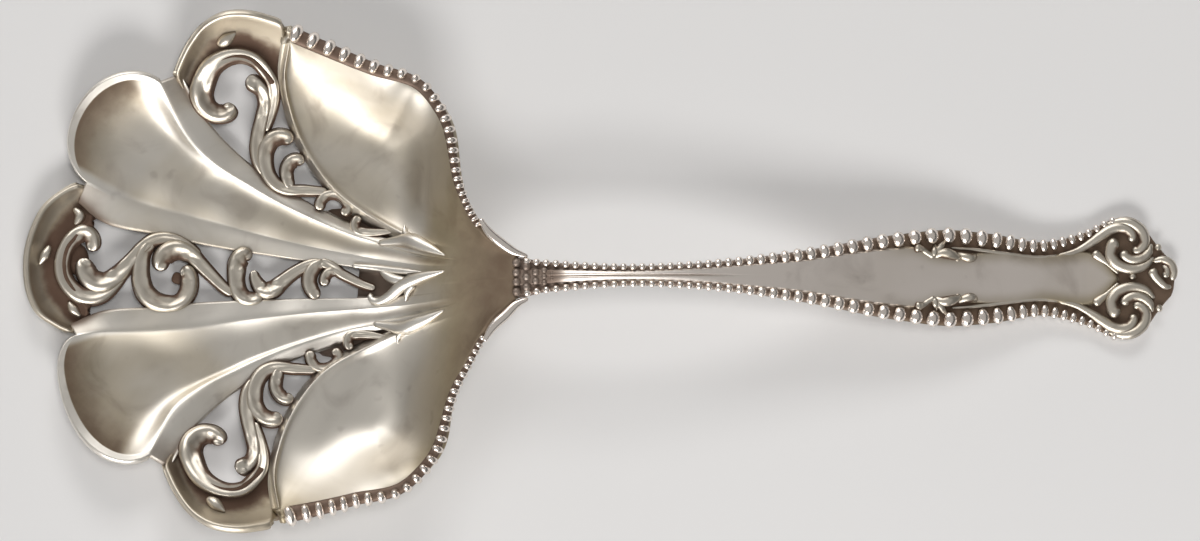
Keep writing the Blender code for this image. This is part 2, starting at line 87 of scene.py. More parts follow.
def bowl_to_row(p):
    """The same for the bowl. Its right half is drawn in first: the hood toward the handle, by a share of its
    way out, and the lobe toward the axis. Then it turns clockwise about the pivot, and less toward the
    neck."""
    x, y, z = np.moveaxis(p - BOWL_PIVOT, -1, 0)
    hood_in = HOOD_DRAW * np.maximum(0, -y - HOOD_FROM) * ramp(-x, *HOOD_RUN)
    lobe_in = LOBE_DRAW * ramp(-y, *LOBE_NEAR) * ramp(-y, *LOBE_FAR) * ramp(-x, *LOBE_RUN)
    x, y = x + hood_in, y + lobe_in
    yaw = BOWL_YAW * (1 - ramp(x, *NECK_STRAIGHT) * ramp(np.abs(y), *NECK_SIDES))
    cos, sin = np.cos(yaw), np.sin(yaw)
    return handle_to_row(np.stack((x * cos + y * sin, y * cos - x * sin, z), axis=-1) + BOWL_PIVOT)


print("seam in mm:", SEAM.round(3))

# %% [markdown]
# ## Curves
# A draughtsman lays a spline through a few chosen points. `smooth` does that for a value along a line and
# `rail` for a curve in plan, so that each outline below needs only the points that its shape needs.
# Blender's own curves could do it too, but here the points at any share of a curve are wanted as an
# array.

# %% curve helpers
def smooth(points, at):
    """Cubic through (place, value) points: each span blends its two end values and end slopes."""
    place, value = np.array(points, float).T
    slope = np.gradient(value, place)
    k = np.clip(np.searchsorted(place, at, side="right") - 1, 0, len(place) - 2)
    step = place[k + 1] - place[k]
    s = (np.clip(at, place[0], place[-1]) - place[k]) / step
    return ((2 * s ** 3 - 3 * s ** 2 + 1) * value[k] + (s ** 3 - 2 * s ** 2 + s) * step * slope[k]
            + (3 * s ** 2 - 2 * s ** 3) * value[k + 1] + (s ** 3 - s ** 2) * step * slope[k + 1])


def travelled(path):
    """Way along a row of points up to each of them: the sum of the chords before it."""
    return np.concatenate(([0], np.cumsum(np.linalg.norm(np.diff(path, axis=0), axis=1))))


def rail(points, t):
    """Curve through points at share t of their chord length; the last axis holds the coordinates."""
    p = np.array(points, float)
    run = travelled(p)
    return np.stack([smooth(np.stack((run / run[-1], axis), 1), t) for axis in p.T], axis=-1)


def unit(v):
    """Vectors along the last axis, made one long."""
    return v / np.maximum(np.linalg.norm(v, axis=-1, keepdims=True), 1e-12)


print("middle of a test rail:", rail(((0, 0), (2, 1), (4, 0)), 0.5))

# %% [markdown]
# ## Sheet with thickness
# Struck silver is a sheet with soft, round edges. A Solidify modifier could thicken a grid, but leaves
# its edges square. So the grid of points gets a copy one thickness below and a half-round rim round every
# edge and hole. Each patch carries two shades for its points: `recess`, where tarnish stays and where shade
# is painted, and `tone`, where silver yellows.

# %% patches and sheets
RIM_BULGE, RIM_STEPS = 0.18, 4


def patch(points, faces, recess, tone=0.0):
    """Points (n, 3), blocks of faces, and the two shades of each point."""
    return points, faces, np.broadcast_to(recess, len(points)), np.broadcast_to(tone, len(points))


def merge(patches):
    """Several patches as one, with their faces renumbered."""
    first = np.cumsum([0] + [len(p[0]) for p in patches])
    faces = [block + start for p, start in zip(patches, first) for block in p[1]]
    points, recess, tone = (np.concatenate([p[k] for p in patches]) for k in (0, 2, 3))
    return points, faces, recess, tone


def for_side(made, side):
    """A left-hand patch, or its mirror image for the right with faces that still point out."""
    points, faces, recess, tone = made
    return points * (1, side, 1), [block[:, ::side] for block in faces], recess, tone


def grid_normals(top):
    """Upward normals of a grid: the cross product of its two directions of travel."""
    normal = unit(np.cross(np.gradient(top, axis=0), np.gradient(top, axis=1)))
    return normal * np.sign(np.mean(normal[..., 2]))


def grid_quads(top, normal, keep):
    """Kept cells of a grid as quads, turned so that the middle one faces along its normal."""
    index = np.arange(top[..., 0].size).reshape(top.shape[:2])
    quads = np.stack((index[:-1, :-1], index[1:, :-1], index[1:, 1:], index[:-1, 1:]), -1)[keep]
    middle = quads[len(quads) // 2]
    a, b, _, d = top.reshape(-1, 3)[middle]
    facing = np.cross(b - a, d - a) @ normal.reshape(-1, 3)[middle[0]]
    return quads if facing > 0 else quads[:, ::-1]


def thick_sheet(top, keep, thickness, recess, tone, ground=None):
    """Closed sheet: the grid's kept cells, the same cells one thickness below, and half-round rims between.
    An edge that only one cell has is a rim; it bulges square to itself and to the normal."""
    grid, count = top.shape[:2], top[..., 0].size
    normal = grid_normals(top)
    quads = grid_quads(top, normal, keep)
    top, normal = top.reshape(-1, 3), normal.reshape(-1, 3)
    edges = np.concatenate([quads[:, (k, (k + 1) % 4)] for k in range(4)])
    rim = edges[~np.isin(edges @ (count, 1), edges @ (1, count))]
    push = unit(np.cross(top[rim[:, 1]] - top[rim[:, 0]], normal[rim[:, 0]]))
    out = np.zeros_like(top)
    for end in (0, 1):
        np.add.at(out, rim[:, end], push)
    border = np.unique(rim)
    place = np.zeros(count, int)
    place[border] = np.arange(len(border))
    angle = np.linspace(0, math.pi, RIM_STEPS + 1)[1:-1, None, None]
    half = normal[border] * thickness / 2
    rings = top[border] - half + half * np.cos(angle) + unit(out[border]) * np.sin(angle) * RIM_BULGE
    points = np.concatenate((top, top - normal * thickness, rings.reshape(-1, 3)))
    if ground is not None:
        points[:, 2] = np.maximum(points[:, 2], ground)

    def on_ring(k, of):
        """Numbers of border points on ring k: ring 0 is the top and the last one the underside."""
        if k in (0, RIM_STEPS):
            return of + (count if k else 0)
        return 2 * count + (k - 1) * len(border) + place[of]

    walls = [np.stack((on_ring(k, rim[:, 1]), on_ring(k, rim[:, 0]),
                       on_ring(k + 1, rim[:, 0]), on_ring(k + 1, rim[:, 1])), -1) for k in range(RIM_STEPS)]
    faces = [quads, quads[:, ::-1] + count, *walls]
    used = np.unique(np.concatenate(faces))
    fresh = np.zeros(len(points), int)
    fresh[used] = np.arange(len(used))
    shades = []
    for shade in (recess, tone):
        flat = np.broadcast_to(shade, grid).ravel()
        shades.append(np.concatenate((flat, flat, np.tile(flat[border], RIM_STEPS - 1)))[used])
    return patch(points[used], [fresh[block] for block in faces], *shades)


test_grid = np.stack((*np.mgrid[0:3, 0:3], np.zeros((3, 3))), -1)
print("points of a test sheet:", len(thick_sheet(test_grid, np.ones((2, 2), bool), 0.5, 0.0, 0.0)[0]))

# %% [markdown]
# ## Bars for carving
# A carved scroll swells, thins and ends round, and the chaser's tool leaves a groove along its face. A
# curve with a bevel could swell and thin, but it has no groove. So an ellipse with a dent in it is
# carried along the path. Every scroll, leaf, thread and volute below is such a bar.

# %% bars
GROOVE_POWER, GROOVE_LEAN, GROOVE_DARK = 6, 0.55, 1.7
FLANK_LEAN, FLANK_SPAN = 0.6, (0.92, 0.17)
CURL_GAIN = 2
END_CROWDING = 0.4


def closed_rings(rings, first, last):
    """Tube of rings (n, m, 3) closed by one pole at each end; faces point out."""
    n, m = rings.shape[:2]
    points = np.concatenate((first[None], rings.reshape(-1, 3), last[None]))
    index = 1 + np.arange(n * m).reshape(n, m)
    along = np.roll(index, -1, axis=1)
    quads = np.stack((index[:-1], index[1:], along[1:], along[:-1]), -1).reshape(-1, 4)
    caps = [np.stack((np.zeros(m, int), index[0], along[0]), -1),
            np.stack((np.full(m, n * m + 1), along[-1], index[-1]), -1)]
    return points, [quads, *caps]


def sweep(path, r, flat=0.85, sides=12, dark=1.0, base=0.0, hollow=0.0):
    """Ellipse of half width r and flat times that height, carried along a path, with a groove of hollow times
    r in its face that leans to the inner side of a curl. The ends close as quarter circles. Recess grows from
    base on the outer crest to dark on the flanks and in the groove: tarnish, and painted shade on the flanks
    that face sideways and down and in the groove on a curl's inner side."""
    run = travelled(path)
    near = np.clip(np.minimum(run, run[-1] - run) / r, 0, 1)
    along = unit(np.gradient(path, axis=0))
    curl = np.cross(along, np.gradient(along, run, axis=0))[:, 2] * r
    lean = np.tanh(CURL_GAIN * curl)[:, None]
    r = r * np.sqrt(1 - (1 - near) ** 2)
    side = unit(np.cross(along, (0.0, 0.0, 1.0)))
    over = np.cross(side, along)
    turn = np.linspace(0, math.tau, sides, endpoint=False)[None]
    groove = np.maximum(np.sin(turn - GROOVE_LEAN * lean), 0) ** GROOVE_POWER
    wide, high = np.cos(turn)[..., None], (flat * np.sin(turn) - hollow * groove)[..., None]
    rings = path[:, None] + r[:, None, None] * (wide * side[:, None] + high * over[:, None])
    mesh, faces = closed_rings(rings[1:-1], path[0], path[-1])
    # Painted shade and tarnish: the flanks that face sideways and down, and the groove on a curl's inner
    # side.
    flank_tarnish_and_shade = dark * ramp(np.sin(turn + FLANK_LEAN * lean), *FLANK_SPAN)
    low = np.maximum(np.maximum(base, flank_tarnish_and_shade), GROOVE_DARK * hollow * groove * np.abs(lean))[1:-1]
    recess = np.concatenate(([low[0].mean()], low.ravel(), [low[-1].mean()]))
    return patch(mesh, faces, recess)


def bar(points, radius, surface, raised=0.0, side=1, flat=0.85, sides=14, rows=40, **look):
    """Scroll: a sweep along plan points that lie on surface(x, y), raised by a share of the radius; side -1
    mirrors it. Its rows crowd toward both ends, and its radii are spread evenly over its length."""
    s = np.linspace(0, 1, rows)
    s = (1 - END_CROWDING) * s + END_CROWDING * (1 - np.cos(math.pi * s)) / 2
    plan = rail(points, s) * (1, side)
    r = smooth(np.stack((np.linspace(0, 1, len(radius)), radius), 1), s)
    path = np.concatenate((plan, (surface(plan[:, 0], plan[:, 1]) + raised * r)[:, None]), axis=1)
    return sweep(path, r, flat, sides, **look)


print("points of a test bar:", len(bar(((0, 0), (3, 1), (6, 0)), (0.3, 0.6, 0.3), lambda x, y: 0 * x)[0]))

# %% [markdown]
# ## Beads, and how a piece is made
# A beaded border is a row of small punched balls, darkened round their feet with tarnish and painted
# shade. There are hundreds, so each is a ball of a few dozen faces, stretched to size in one array step;
# copies of a sphere object would be slow and hard to size. A finished patch becomes one object in the row
# frame, rides on the spoon's only body and names its finish.

# %% beads and pieces
BEAD_FOOT = (0.15, -0.65)


def beads(centers, axes, radii, around=12, rings=7, dark=0.85):
    """Ellipsoids: a unit ball stretched by radii along the three rows of axes and set at each center."""
    polar = np.linspace(0, math.pi, rings + 2)[1:-1, None]
    turn = np.linspace(0, math.tau, around, endpoint=False)
    wide = np.sin(polar)
    ball = np.stack((wide * np.cos(turn), wide * np.sin(turn), np.cos(polar) + 0 * turn), -1)
    skin, faces = closed_rings(ball, np.array((0, 0, 1.0)), np.array((0, 0, -1.0)))
    points = centers[:, None] + np.einsum("pk,nk,nkj->npj", skin, radii, axes)
    first = len(skin) * np.arange(len(centers))[:, None, None]
    # Each ball darkens toward its foot: painted shade under it, and tarnish.
    recess = np.tile(dark * ramp(skin[:, 2], *BEAD_FOOT), len(centers))
    faces = [(block + first).reshape(-1, block.shape[1]) for block in faces]
    return patch(points.reshape(-1, 3), faces, recess)


def add_piece(name, to_row, made, material, nodes=()):
    """One object from a patch: points to the row frame, shades to point attributes, smooth faces."""
    points, faces, recess, tone = made
    mesh = bpy.data.meshes.new(name)
    mesh.from_pydata(to_row(points), [], [face for block in faces for face in block.tolist()])
    for label, shade in (("recess", recess), ("tone", tone)):
        mesh.attributes.new(label, "FLOAT", "POINT").data.foreach_set("value", shade.astype(np.float32))
    mesh.polygons.foreach_set("use_smooth", np.ones(len(mesh.polygons), bool))
    mesh.materials.append(material)
    piece = bpy.data.objects.new(name, mesh)
    bpy.context.scene.collection.objects.link(piece)
    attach(piece, "root")
    if nodes:
        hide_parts(*nodes)
    print(f"{name}: {len(points)} points, {len(mesh.polygons)} faces")
    return piece


print("points of a test bead:", len(beads(np.zeros((1, 3)), np.eye(3)[None], np.ones((1, 3)))[0]))

# %% [markdown]
# ## Node maths
# Materials are mixed from many small sums, and a tree of nodes drawn by hand is hard to read. The small
# class below wraps a socket, so that a sum in Python adds its Math nodes, and one method adds every other
# node.

# %% node maths
class Signal:
    """A number in a node tree: +, - and * on it add Math nodes."""

    def __init__(self, nodes, socket):
        self.nodes, self.socket = nodes, socket

    def math(self, operation, a, b):
        """Result of one Math node."""
        return self.nodes.node("ShaderNodeMath", {"operation": operation}, {0: a, 1: b})

    def __add__(self, other):
        return self.math("ADD", self, other)

    def __sub__(self, other):
        return self.math("SUBTRACT", self, other)

    def __rsub__(self, other):
        return self.math("SUBTRACT", other, self)

    def __mul__(self, other):
        return self.math("MULTIPLY", self, other)

    __radd__, __rmul__ = __add__, __mul__


class Nodes:
    """A material's node tree, and one method that adds any node."""

    def __init__(self, name):
        self.material = bpy.data.materials.new(name)
        self.material.use_nodes = True
        self.tree = self.material.node_tree
        self.shader = self.tree.nodes["Principled BSDF"]

    def node(self, kind, settings, sockets, output=0):
        """Add a node, set its settings, then set or link its sockets; give one output as a signal."""
        made = self.tree.nodes.new(kind)
        for key, value in settings.items():
            setattr(made, key, value)
        for key, value in sockets.items():
            self.put(made.inputs[key], value)
        return Signal(self, made.outputs[output])

    def put(self, socket, value):
        """Link a signal to a socket, or set a plain value on it."""
        if isinstance(value, Signal):
            self.tree.links.new(value.socket, socket)
        else:
            socket.default_value = value

    def mix(self, share, a, b):
        """Blend of two colours."""
        return self.node("ShaderNodeMix", {"data_type": "RGBA"}, {0: share, 6: a, 7: b}, 2)

    def noise(self, scale, stretch=(1, 1, 1), detail=3.0, distortion=0.0, turn=0.0):
        """Noise on Object coordinates, from 0 to 1; scale is in features per metre."""
        place = self.node("ShaderNodeTexCoord", {}, {}, "Object")
        place = self.node("ShaderNodeMapping", {}, {"Vector": place, "Rotation": (0, 0, -turn)})
        spread = self.node("ShaderNodeMapping", {}, {"Vector": place, "Scale": stretch})
        return self.node("ShaderNodeTexNoise", {}, {"Vector": spread, "Scale": scale, "Detail": detail,
                                                    "Distortion": distortion}, "Fac")

    def soft_step(self, value, low, high):
        """Zero below low, one above high."""
        return self.node("ShaderNodeMapRange", {"interpolation_type": "SMOOTHSTEP"},
                         {"Value": value, "From Min": low, "From Max": high})


# %% [markdown]
# ## Silver
# Old sterling is never one colour. Where hands and cloths reach it, it is bright and faintly warm, with
# fine scratches. In hollows the polish stays away and a brown film builds up, and thin films look golden.
# The same brown is also painted shade: on the flanks of bars, at the feet of beads, under scrolls and in
# deep crevices. Painted pictures could show this, but one function that mixes it from the two shades of the
# mesh and from soft noise suits all pieces. The bowl has most golden film, the scrolls are dull and brown,
# the beads rubbed bright.

# %% the silver finishes
WARM = (0.80, 0.76, 0.695, 1)
PLAIN = (0.89, 0.815, 0.75, 1)
DULL = (0.69, 0.635, 0.55, 1)
GOLDEN = (0.45, 0.38, 0.265, 1)
# Brown for tarnish and for painted shade.
BROWN = (0.14, 0.086, 0.06, 1)
CLOUD_SCALE, STAIN_SCALE, SPECK_SCALE, GRIME_SCALE = 55, 170, 420, 450
HAIR_STRETCH = (60, 2200, 60)
RECESS_GOLD = 0.45
SPECK_SHARE, STAIN_SHARE, STAIN_ON_FILM = 0.2, 0.22, 0.3
TARNISH_SHADE_MATT, FILM_MATT, TARNISH_SHADE_CLOAK = 0.25, 0.16, 0.3
DENT_STRENGTH, DENT_DEPTH = 0.03, 0.0001


def silver(name, bright, rough, cloud, film, scratch, mottle=0.35, lay=0.0):
    """Silver whose colour goes from bright through golden film to brown with the mesh's shades; the brown is
    tarnish and painted shade. Both, and the film, make it rougher, and fine scratches run at the angle lay."""
    n = Nodes(name)
    recess = n.node("ShaderNodeAttribute", {"attribute_name": "recess"}, {}, "Fac")
    tone = n.node("ShaderNodeAttribute", {"attribute_name": "tone"}, {}, "Fac")
    clouds = n.soft_step(n.noise(CLOUD_SCALE, detail=4, distortion=0.6), 0.42, 0.72)
    specks = n.soft_step(n.noise(SPECK_SCALE, detail=2), 0.66, 0.78)
    stains = n.soft_step(n.noise(STAIN_SCALE, detail=5, distortion=1.2), 0.5, 0.8)
    hairs = n.noise(1.0, HAIR_STRETCH, detail=2, turn=lay)
    # Tarnish and painted shade: the recess shade with some grime noise, which turns the colour brown.
    tarnish_and_shade = n.soft_step(recess + (n.noise(GRIME_SCALE, detail=4) - 0.5) * mottle, 0.25, 1.0)
    golden = n.soft_step(tone + recess * RECESS_GOLD + clouds * cloud, 0.05, 1.1)
    color = n.mix(golden, bright, GOLDEN)
    color = n.mix(tarnish_and_shade * film, color, BROWN)
    color = n.mix(specks * SPECK_SHARE + stains * (STAIN_SHARE + tone * STAIN_ON_FILM), color, BROWN)
    n.put(n.shader.inputs["Base Color"], color)
    n.put(n.shader.inputs["Metallic"], 1 - tarnish_and_shade * TARNISH_SHADE_CLOAK)
    matt = tarnish_and_shade * TARNISH_SHADE_MATT + golden * FILM_MATT
    n.put(n.shader.inputs["Roughness"], rough + (hairs - 0.5) * scratch + matt)
    bump = n.node("ShaderNodeBump", {}, {"Strength": DENT_STRENGTH, "Distance": DENT_DEPTH, "Height": clouds})
    n.put(n.shader.inputs["Normal"], bump)
    return n.material


bowl_finish = silver("polished_bowl_silver", WARM, rough=0.36, cloud=0.45, film=0.85, scratch=0.1, lay=1.0)
scroll_finish = silver("carved_scroll_silver", DULL, rough=0.34, cloud=0.3, film=1.0, scratch=0.06,
                       mottle=0.9)
bead_finish = silver("rubbed_bead_silver", PLAIN, rough=0.24, cloud=0.1, film=0.95, scratch=0.04)
handle_finish = silver("satin_handle_silver", PLAIN, rough=0.3, cloud=0.25, film=0.86, scratch=0.05)
print("finishes:", [m.name for m in bpy.data.materials if "silver" in m.name])

# %% [markdown]
# ## The bowl
# The bowl is one struck sheet. Two scooped flutes fan out from the throat, each with a sharp ridge and a
# sloping flange on both sides. Between them lie pierced panels, and two hollow shoulders close the fan
# next to the handle. It could be sculpted, but a fan of plan curves, the rails, keeps every edge under
# control: a point of the sheet is a share `s` across a strip between two rails and a share `t` from the
# throat to the rim.

# %% the dish and its rails
SHEET = 0.9
FLOOR = 2.0
NECK_HEIGHT = 10.8
DEEPEST_X, LIP_X, LIP_RISE = -24.0, -51.3, 1.4
SIDE_REACH, SIDE_RISE, SIDE_POWER = 25.3, 6.3, 3.5
THROAT_START, THROAT_END = -17.0, 2.0
CENTER_EDGE = ((0, 0.45), (-15, 1.5), (-25, 2.2), (-38, 3.8), (-44.3, 5.15), (-46.2, 6.7))
FLUTE_INNER = ((0, 0.9), (-11.5, 2.2), (-24, 3.8), (-33, 5.5), (-42, 7.5), (-45.4, 8.8))
FLUTE_OUTER = ((0, 1.35), (-11.3, 3.4), (-19.7, 5.85), (-28, 9.45), (-35.1, 14), (-38.2, 19.4))
SIDE_EDGE = ((0, 1.7), (-13, 4.6), (-23.8, 9.05), (-30, 12.9), (-33.2, 15.9), (-36.2, 20.4))
SHOULDER_RIDGE = ((0, 2.05), (-13.1, 5.8), (-20, 10.15), (-24.5, 17.3), (-25.3, 21.0), (-24.9, 24.2))
SHOULDER_EDGE = {
    1: ((0, 2.2), (-1.6, 3.1), (-3.3, 4.6), (-6.2, 9.6), (-8.6, 17.6), (-11, 20.4), (-16, 21.9),
        (-25.2, 25.2)),
    -1: ((0, 2.2), (-1.4, 3.1), (-2.9, 4.7), (-5.4, 9.9), (-7.6, 18.5), (-10.2, 21.4), (-15.7, 23.0),
         (-24.7, 25.1)),
}
EDGE_DROP = ((0, 0), (0.1, 0.3), (0.3, 0.9), (0.5, 1.6), (0.7, 2.3), (1, 2.4))


def dish(x, y):
    """Plain dish: a flat floor that climbs with the square of the way to the lip, with a soft step up the
    throat and with a steep power of the way out to each side."""
    lip = LIP_RISE * np.maximum(0, (DEEPEST_X - x) / (DEEPEST_X - LIP_X)) ** 2
    climb = ramp(x, THROAT_START, THROAT_END) / ramp(0.0, THROAT_START, THROAT_END)
    side = SIDE_RISE * (np.abs(y) / SIDE_REACH) ** SIDE_POWER
    return FLOOR + lip + (NECK_HEIGHT - FLOOR) * climb + side


print("dish in mm at lip, floor and throat:", dish(np.array((LIP_X, DEEPEST_X, -5.0)), 0.0).round(2))

# %% [markdown]
# ## Flanges, ridges and ground
# The flanges fall from a flute's ridges to the openings, and a thin raised ridge borders each shoulder.
# Near the throat the openings end, and a sunk ground closes the sheet behind the last scrolls; it is
# painted dark, with tarnish and with painted shade for the small shaded openings there. All of it fades
# into the plain throat. Separate strips of mesh could be joined, but heights that fade with `t` leave no
# seams.

# %% flanges and ridges
FLANGE_DROP, FLANGE_SPAN = 0.8, (0.17, 0.47)
INNER_FLANGE = 0.45
GROUND_SINK, GROUND_SPAN = 0.8, (0.22, 0.3)
RIDGE_WIDTH, RIDGE_RISE, RIDGE_SPAN = 0.7, 0.3, (0.2, 0.4)
THROAT_FADE = (0.0, 0.3)
NEXT_TO = 0.01


def lift(plan, z):
    """Plan points and heights as points in space."""
    return np.concatenate((plan, np.broadcast_to(z, plan.shape[:2])[..., None]), axis=-1)


def square_left(along):
    """Plan directions turned a quarter to the left."""
    return np.stack((-along[..., 1], along[..., 0]), -1)


def ridge_foot(t):
    """Outer rim of a shoulder: its ridge moved square to itself toward the opening, closing at the seam."""
    behind, ahead = np.maximum(t - NEXT_TO, 0), np.minimum(t + NEXT_TO, 1)
    along = unit(rail(SHOULDER_RIDGE, ahead) - rail(SHOULDER_RIDGE, behind))
    return rail(SHOULDER_RIDGE, t) + RIDGE_WIDTH * ramp(t, *THROAT_FADE)[..., None] * square_left(along)


def ridge_rise(t):
    """Height of a shoulder's ridge above the dish: none in the throat."""
    return RIDGE_RISE * ramp(t, *RIDGE_SPAN)


def flange_drop(t):
    """Fall of a flange from its ridge to its opening: none in the throat."""
    return FLANGE_DROP * ramp(t, *FLANGE_SPAN)


def ground_sink(t):
    """Fall of the closed ground behind the last scrolls."""
    return flange_drop(t) + GROUND_SINK * ramp(t, *GROUND_SPAN)


print("drop of flange and ground in mm halfway:", flange_drop(0.5), ground_sink(0.5))

# %% [markdown]
# ## The flutes
# A flute is a channel that a punch drives into the sheet. It starts as a narrow round valley, opens to a
# level floor between two bent-up ridges and ends in a round lobe with a cove up to its rim. On the right
# the outer wall stands close to its ridge from early on; on the left it stays soft almost to the lobe.
# Sculpting would not keep the two alike where they should be, so both come from one formula with a few
# values for each side.

# %% the flutes
FLUTE_DEPTH, LOBE_DEPTH, LOBE_SPAN = 0.5, 0.35, (0.55, 0.85)
SCOOP_SPANS = ((0.25, (0.14, 0.26)), (0.75, (0.2, 0.65)))
LEVEL_SPAN = (0.3, 0.6)
INNER_POWER = 2.0
OUTER_POWER = {1: ((0.74, 0.88), (2.5, 8.5)), -1: ((0.3, 0.7), (5.0, 12.0))}
LOBE_BULGE, BULGE_FROM, BULGE_POWER = 5.4, 0.5, 1.6
LOBE_WALL, LOBE_RIM, COVE_POWER = 0.84, 0.988, 2.4
CROWD_SPAN = (0.75, 1.0)
FILM_INNER, FILM_OUTER, FILM_SPAN = (0.0, 0.08), (1.0, 0.85), (0.2, 0.5)
VALLEY_START, VALLEY_END = (0.06, 0.18), (0.7, 0.3)
COVE_DARK, COVE_FADE, VALLEY_DARK = 0.85, 1.5, 0.5
FLOOR_TONE, COVE_TONE = 0.25, 0.3


def flute(s, t, side):
    """Scooped channel: a round valley near the throat, then a level floor that bends up to both ridges with a
    power of the way out, and a cove at the round lobe up to its rim."""
    a, b = rail(FLUTE_INNER, t), rail(FLUTE_OUTER, t)
    swell = np.maximum(0, (t - BULGE_FROM) / (1 - BULGE_FROM)) ** BULGE_POWER
    bulge = LOBE_BULGE * np.sin(math.pi * s) * swell
    share = s + ramp(t, *CROWD_SPAN) * ((1 - np.cos(math.pi * s)) / 2 - s)
    plan = a + (b - a) * share[..., None] + bulge[..., None] * square_left(unit(b - a))
    low, high = dish(a[..., 0], a[..., 1]), dish(b[..., 0], b[..., 1])
    scoop = sum(part * ramp(t, *span) for part, span in SCOOP_SPANS)
    depth = FLUTE_DEPTH * scoop + LOBE_DEPTH * ramp(t, *LOBE_SPAN)
    valley = depth * (2 * share - 1) ** 2
    inner = depth * np.maximum(0, 1 - 2 * share) ** INNER_POWER
    span, (first, last) = OUTER_POWER[side]
    power = first + (last - first) * ramp(t, *span)
    outer = (depth + high - low) * np.maximum(0, 2 * share - 1) ** power
    floor = low - depth + valley + (inner + outer - valley) * ramp(t, *LEVEL_SPAN)
    wall = np.clip((t - LOBE_WALL) / (LOBE_RIM - LOBE_WALL), 0, 1)
    z = floor + (dish(plan[..., 0], plan[..., 1]) - floor) * wall ** COVE_POWER
    film = ramp(share, *FILM_INNER) * ramp(share, *FILM_OUTER) * ramp(t, *FILM_SPAN) * (wall < 1)
    narrow = (1 - (2 * share - 1) ** 2) * ramp(t, *VALLEY_START) * ramp(t, *VALLEY_END)
    # The cove up to a lobe's rim is painted darker: painted shade. The valley near the throat is darker too.
    recess = np.maximum(COVE_DARK * wall ** COVE_FADE * film, VALLEY_DARK * narrow)
    return lift(plan, z), recess, (FLOOR_TONE + COVE_TONE * wall) * film


MIDDLE = np.array([[0.5]])
print("middle of the left flute in mm:", flute(MIDDLE, MIDDLE, 1)[0][0, 0].round(2))

# %% [markdown]
# ## The shoulders
# A shoulder is a hollow, leaf-shaped panel. Its floor starts at the ridge, and two walls climb from it to
# the beaded edge: one along the back, toward the handle, and one along the top. They meet in a soft
# crease. A wall is a curve of the distance to its stretch of edge, because that follows the edge however
# it bends.

# %% the shoulders
FLOOR_SLOPE, SLOPE_POWER = 0.16, 1.4
SHOULDER_DIP, DIP_POWER, DIP_SPAN, DIP_END = 0.2, 0.7, (0.0, 0.4), 6
BACK_REACH, BACK_WALL = 9.0, (0.0, 0.62)
TOP_REACH, TOP_WALL = {1: 8.4, -1: 9.4}, (0.6, 1.0)
WALL_ROOM, EDGE_POWER = 0.97, 14
RIDGE_BLEND = 0.03
EDGE_SAMPLES = 200
EDGE_DARK, EDGE_WIDTH = 0.25, (0.93, 1.0)
FOOT_DARK, FOOT_WIDTH, FOOT_SPAN = 0.3, (0.06, 0.0), (0.4, 0.7)
PANEL_TONE, BACK_TONE, BACK_SPAN, TIP_TONE, TIP_SPAN = 0.28, 0.1, (0.1, 0.3), 0.25, (0.8, 1.0)


def wall_share(plan, reach, side, span):
    """One on a span of the beaded edge and zero at some reach inside it: with q the share of the reach that
    is left, 2 q^3 - q^4."""
    edge = rail(SHOULDER_EDGE[side], np.linspace(*span, EDGE_SAMPLES))
    gap = np.sqrt(((plan[..., None, :] - edge) ** 2).sum(-1)).min(-1)
    q = np.maximum(0, 1 - gap / reach)
    return 2 * q ** 3 - q ** 4


def shoulder(s, t, side):
    """Hollow panel: a floor that starts at the ridge, and two walls up to the beaded edge that meet in a
    crease. A wall's reach is kept within the panel's width."""
    a, b = rail(SHOULDER_RIDGE, t), rail(SHOULDER_EDGE[side], t)
    plan = a + (b - a) * s[..., None]
    room = WALL_ROOM * np.linalg.norm(b - a, axis=-1)
    back, top = (wall_share(plan, (reach ** -4 + room ** -4) ** -0.25, side, span)
                 for reach, span in ((BACK_REACH, BACK_WALL), (TOP_REACH[side], TOP_WALL)))
    wall = np.maximum(1 - (1 - back) * (1 - top), s ** EDGE_POWER)
    base = dish(a[..., 0], a[..., 1])
    high = NECK_HEIGHT - smooth(EDGE_DROP, t)
    hollow = SHOULDER_DIP * np.sin(math.pi * s ** DIP_POWER) * ramp(t, *DIP_SPAN) * (1 - t ** DIP_END)
    floor = base + (high - base) * FLOOR_SLOPE * s ** SLOPE_POWER - hollow
    z = floor + (high - floor) * wall + ridge_rise(t) * np.exp(-(s / RIDGE_BLEND) ** 2)
    recess = EDGE_DARK * ramp(s, *EDGE_WIDTH) + FOOT_DARK * ramp(s, *FOOT_WIDTH) * ramp(t, *FOOT_SPAN)
    tone = PANEL_TONE + BACK_TONE * back * ramp(t, *BACK_SPAN) + TIP_TONE * ramp(t, *TIP_SPAN)
    return lift(plan, z), recess, tone


print("middle of the left shoulder in mm:", shoulder(MIDDLE, MIDDLE, 1)[0][0, 0].round(2))

# %% [markdown]
# ## Smoothing by hand and stone
# After striking, a silversmith rounds the ridges, fairs the throat and leaves slight waves in the sheet.
# A Smooth modifier would soften everything. Three small functions do it only where it belongs: averages
# across a ridge, one fitted surface for the throat, in which all strips run together, and two faint
# crossing waves.

# %% rounding, fairing and waves
NECK_REACH, NECK_BLEND, NECK_POINTS = 8.5, 3.0, 5
FAIR_POWERS = [(i, 2 * j) for i in range(5) for j in range(5)]
WAVE_HEIGHT = 0.05
WAVES = ((0.55, 0.75, 0.0), (0.95, -0.45, 2.0))


def rounded_over(z, ridge, reach, passes):
    """Heights with the ridge at a column rounded: repeated 1-2-1 averages across, close to that column."""
    weight = ramp(np.abs(np.arange(z.shape[1]) - ridge), reach, 0)
    for _ in range(passes):
        mean = (np.roll(z, 1, axis=1) + 2 * z + np.roll(z, -1, axis=1)) / 4
        z = z + (mean - z) * weight
    return z


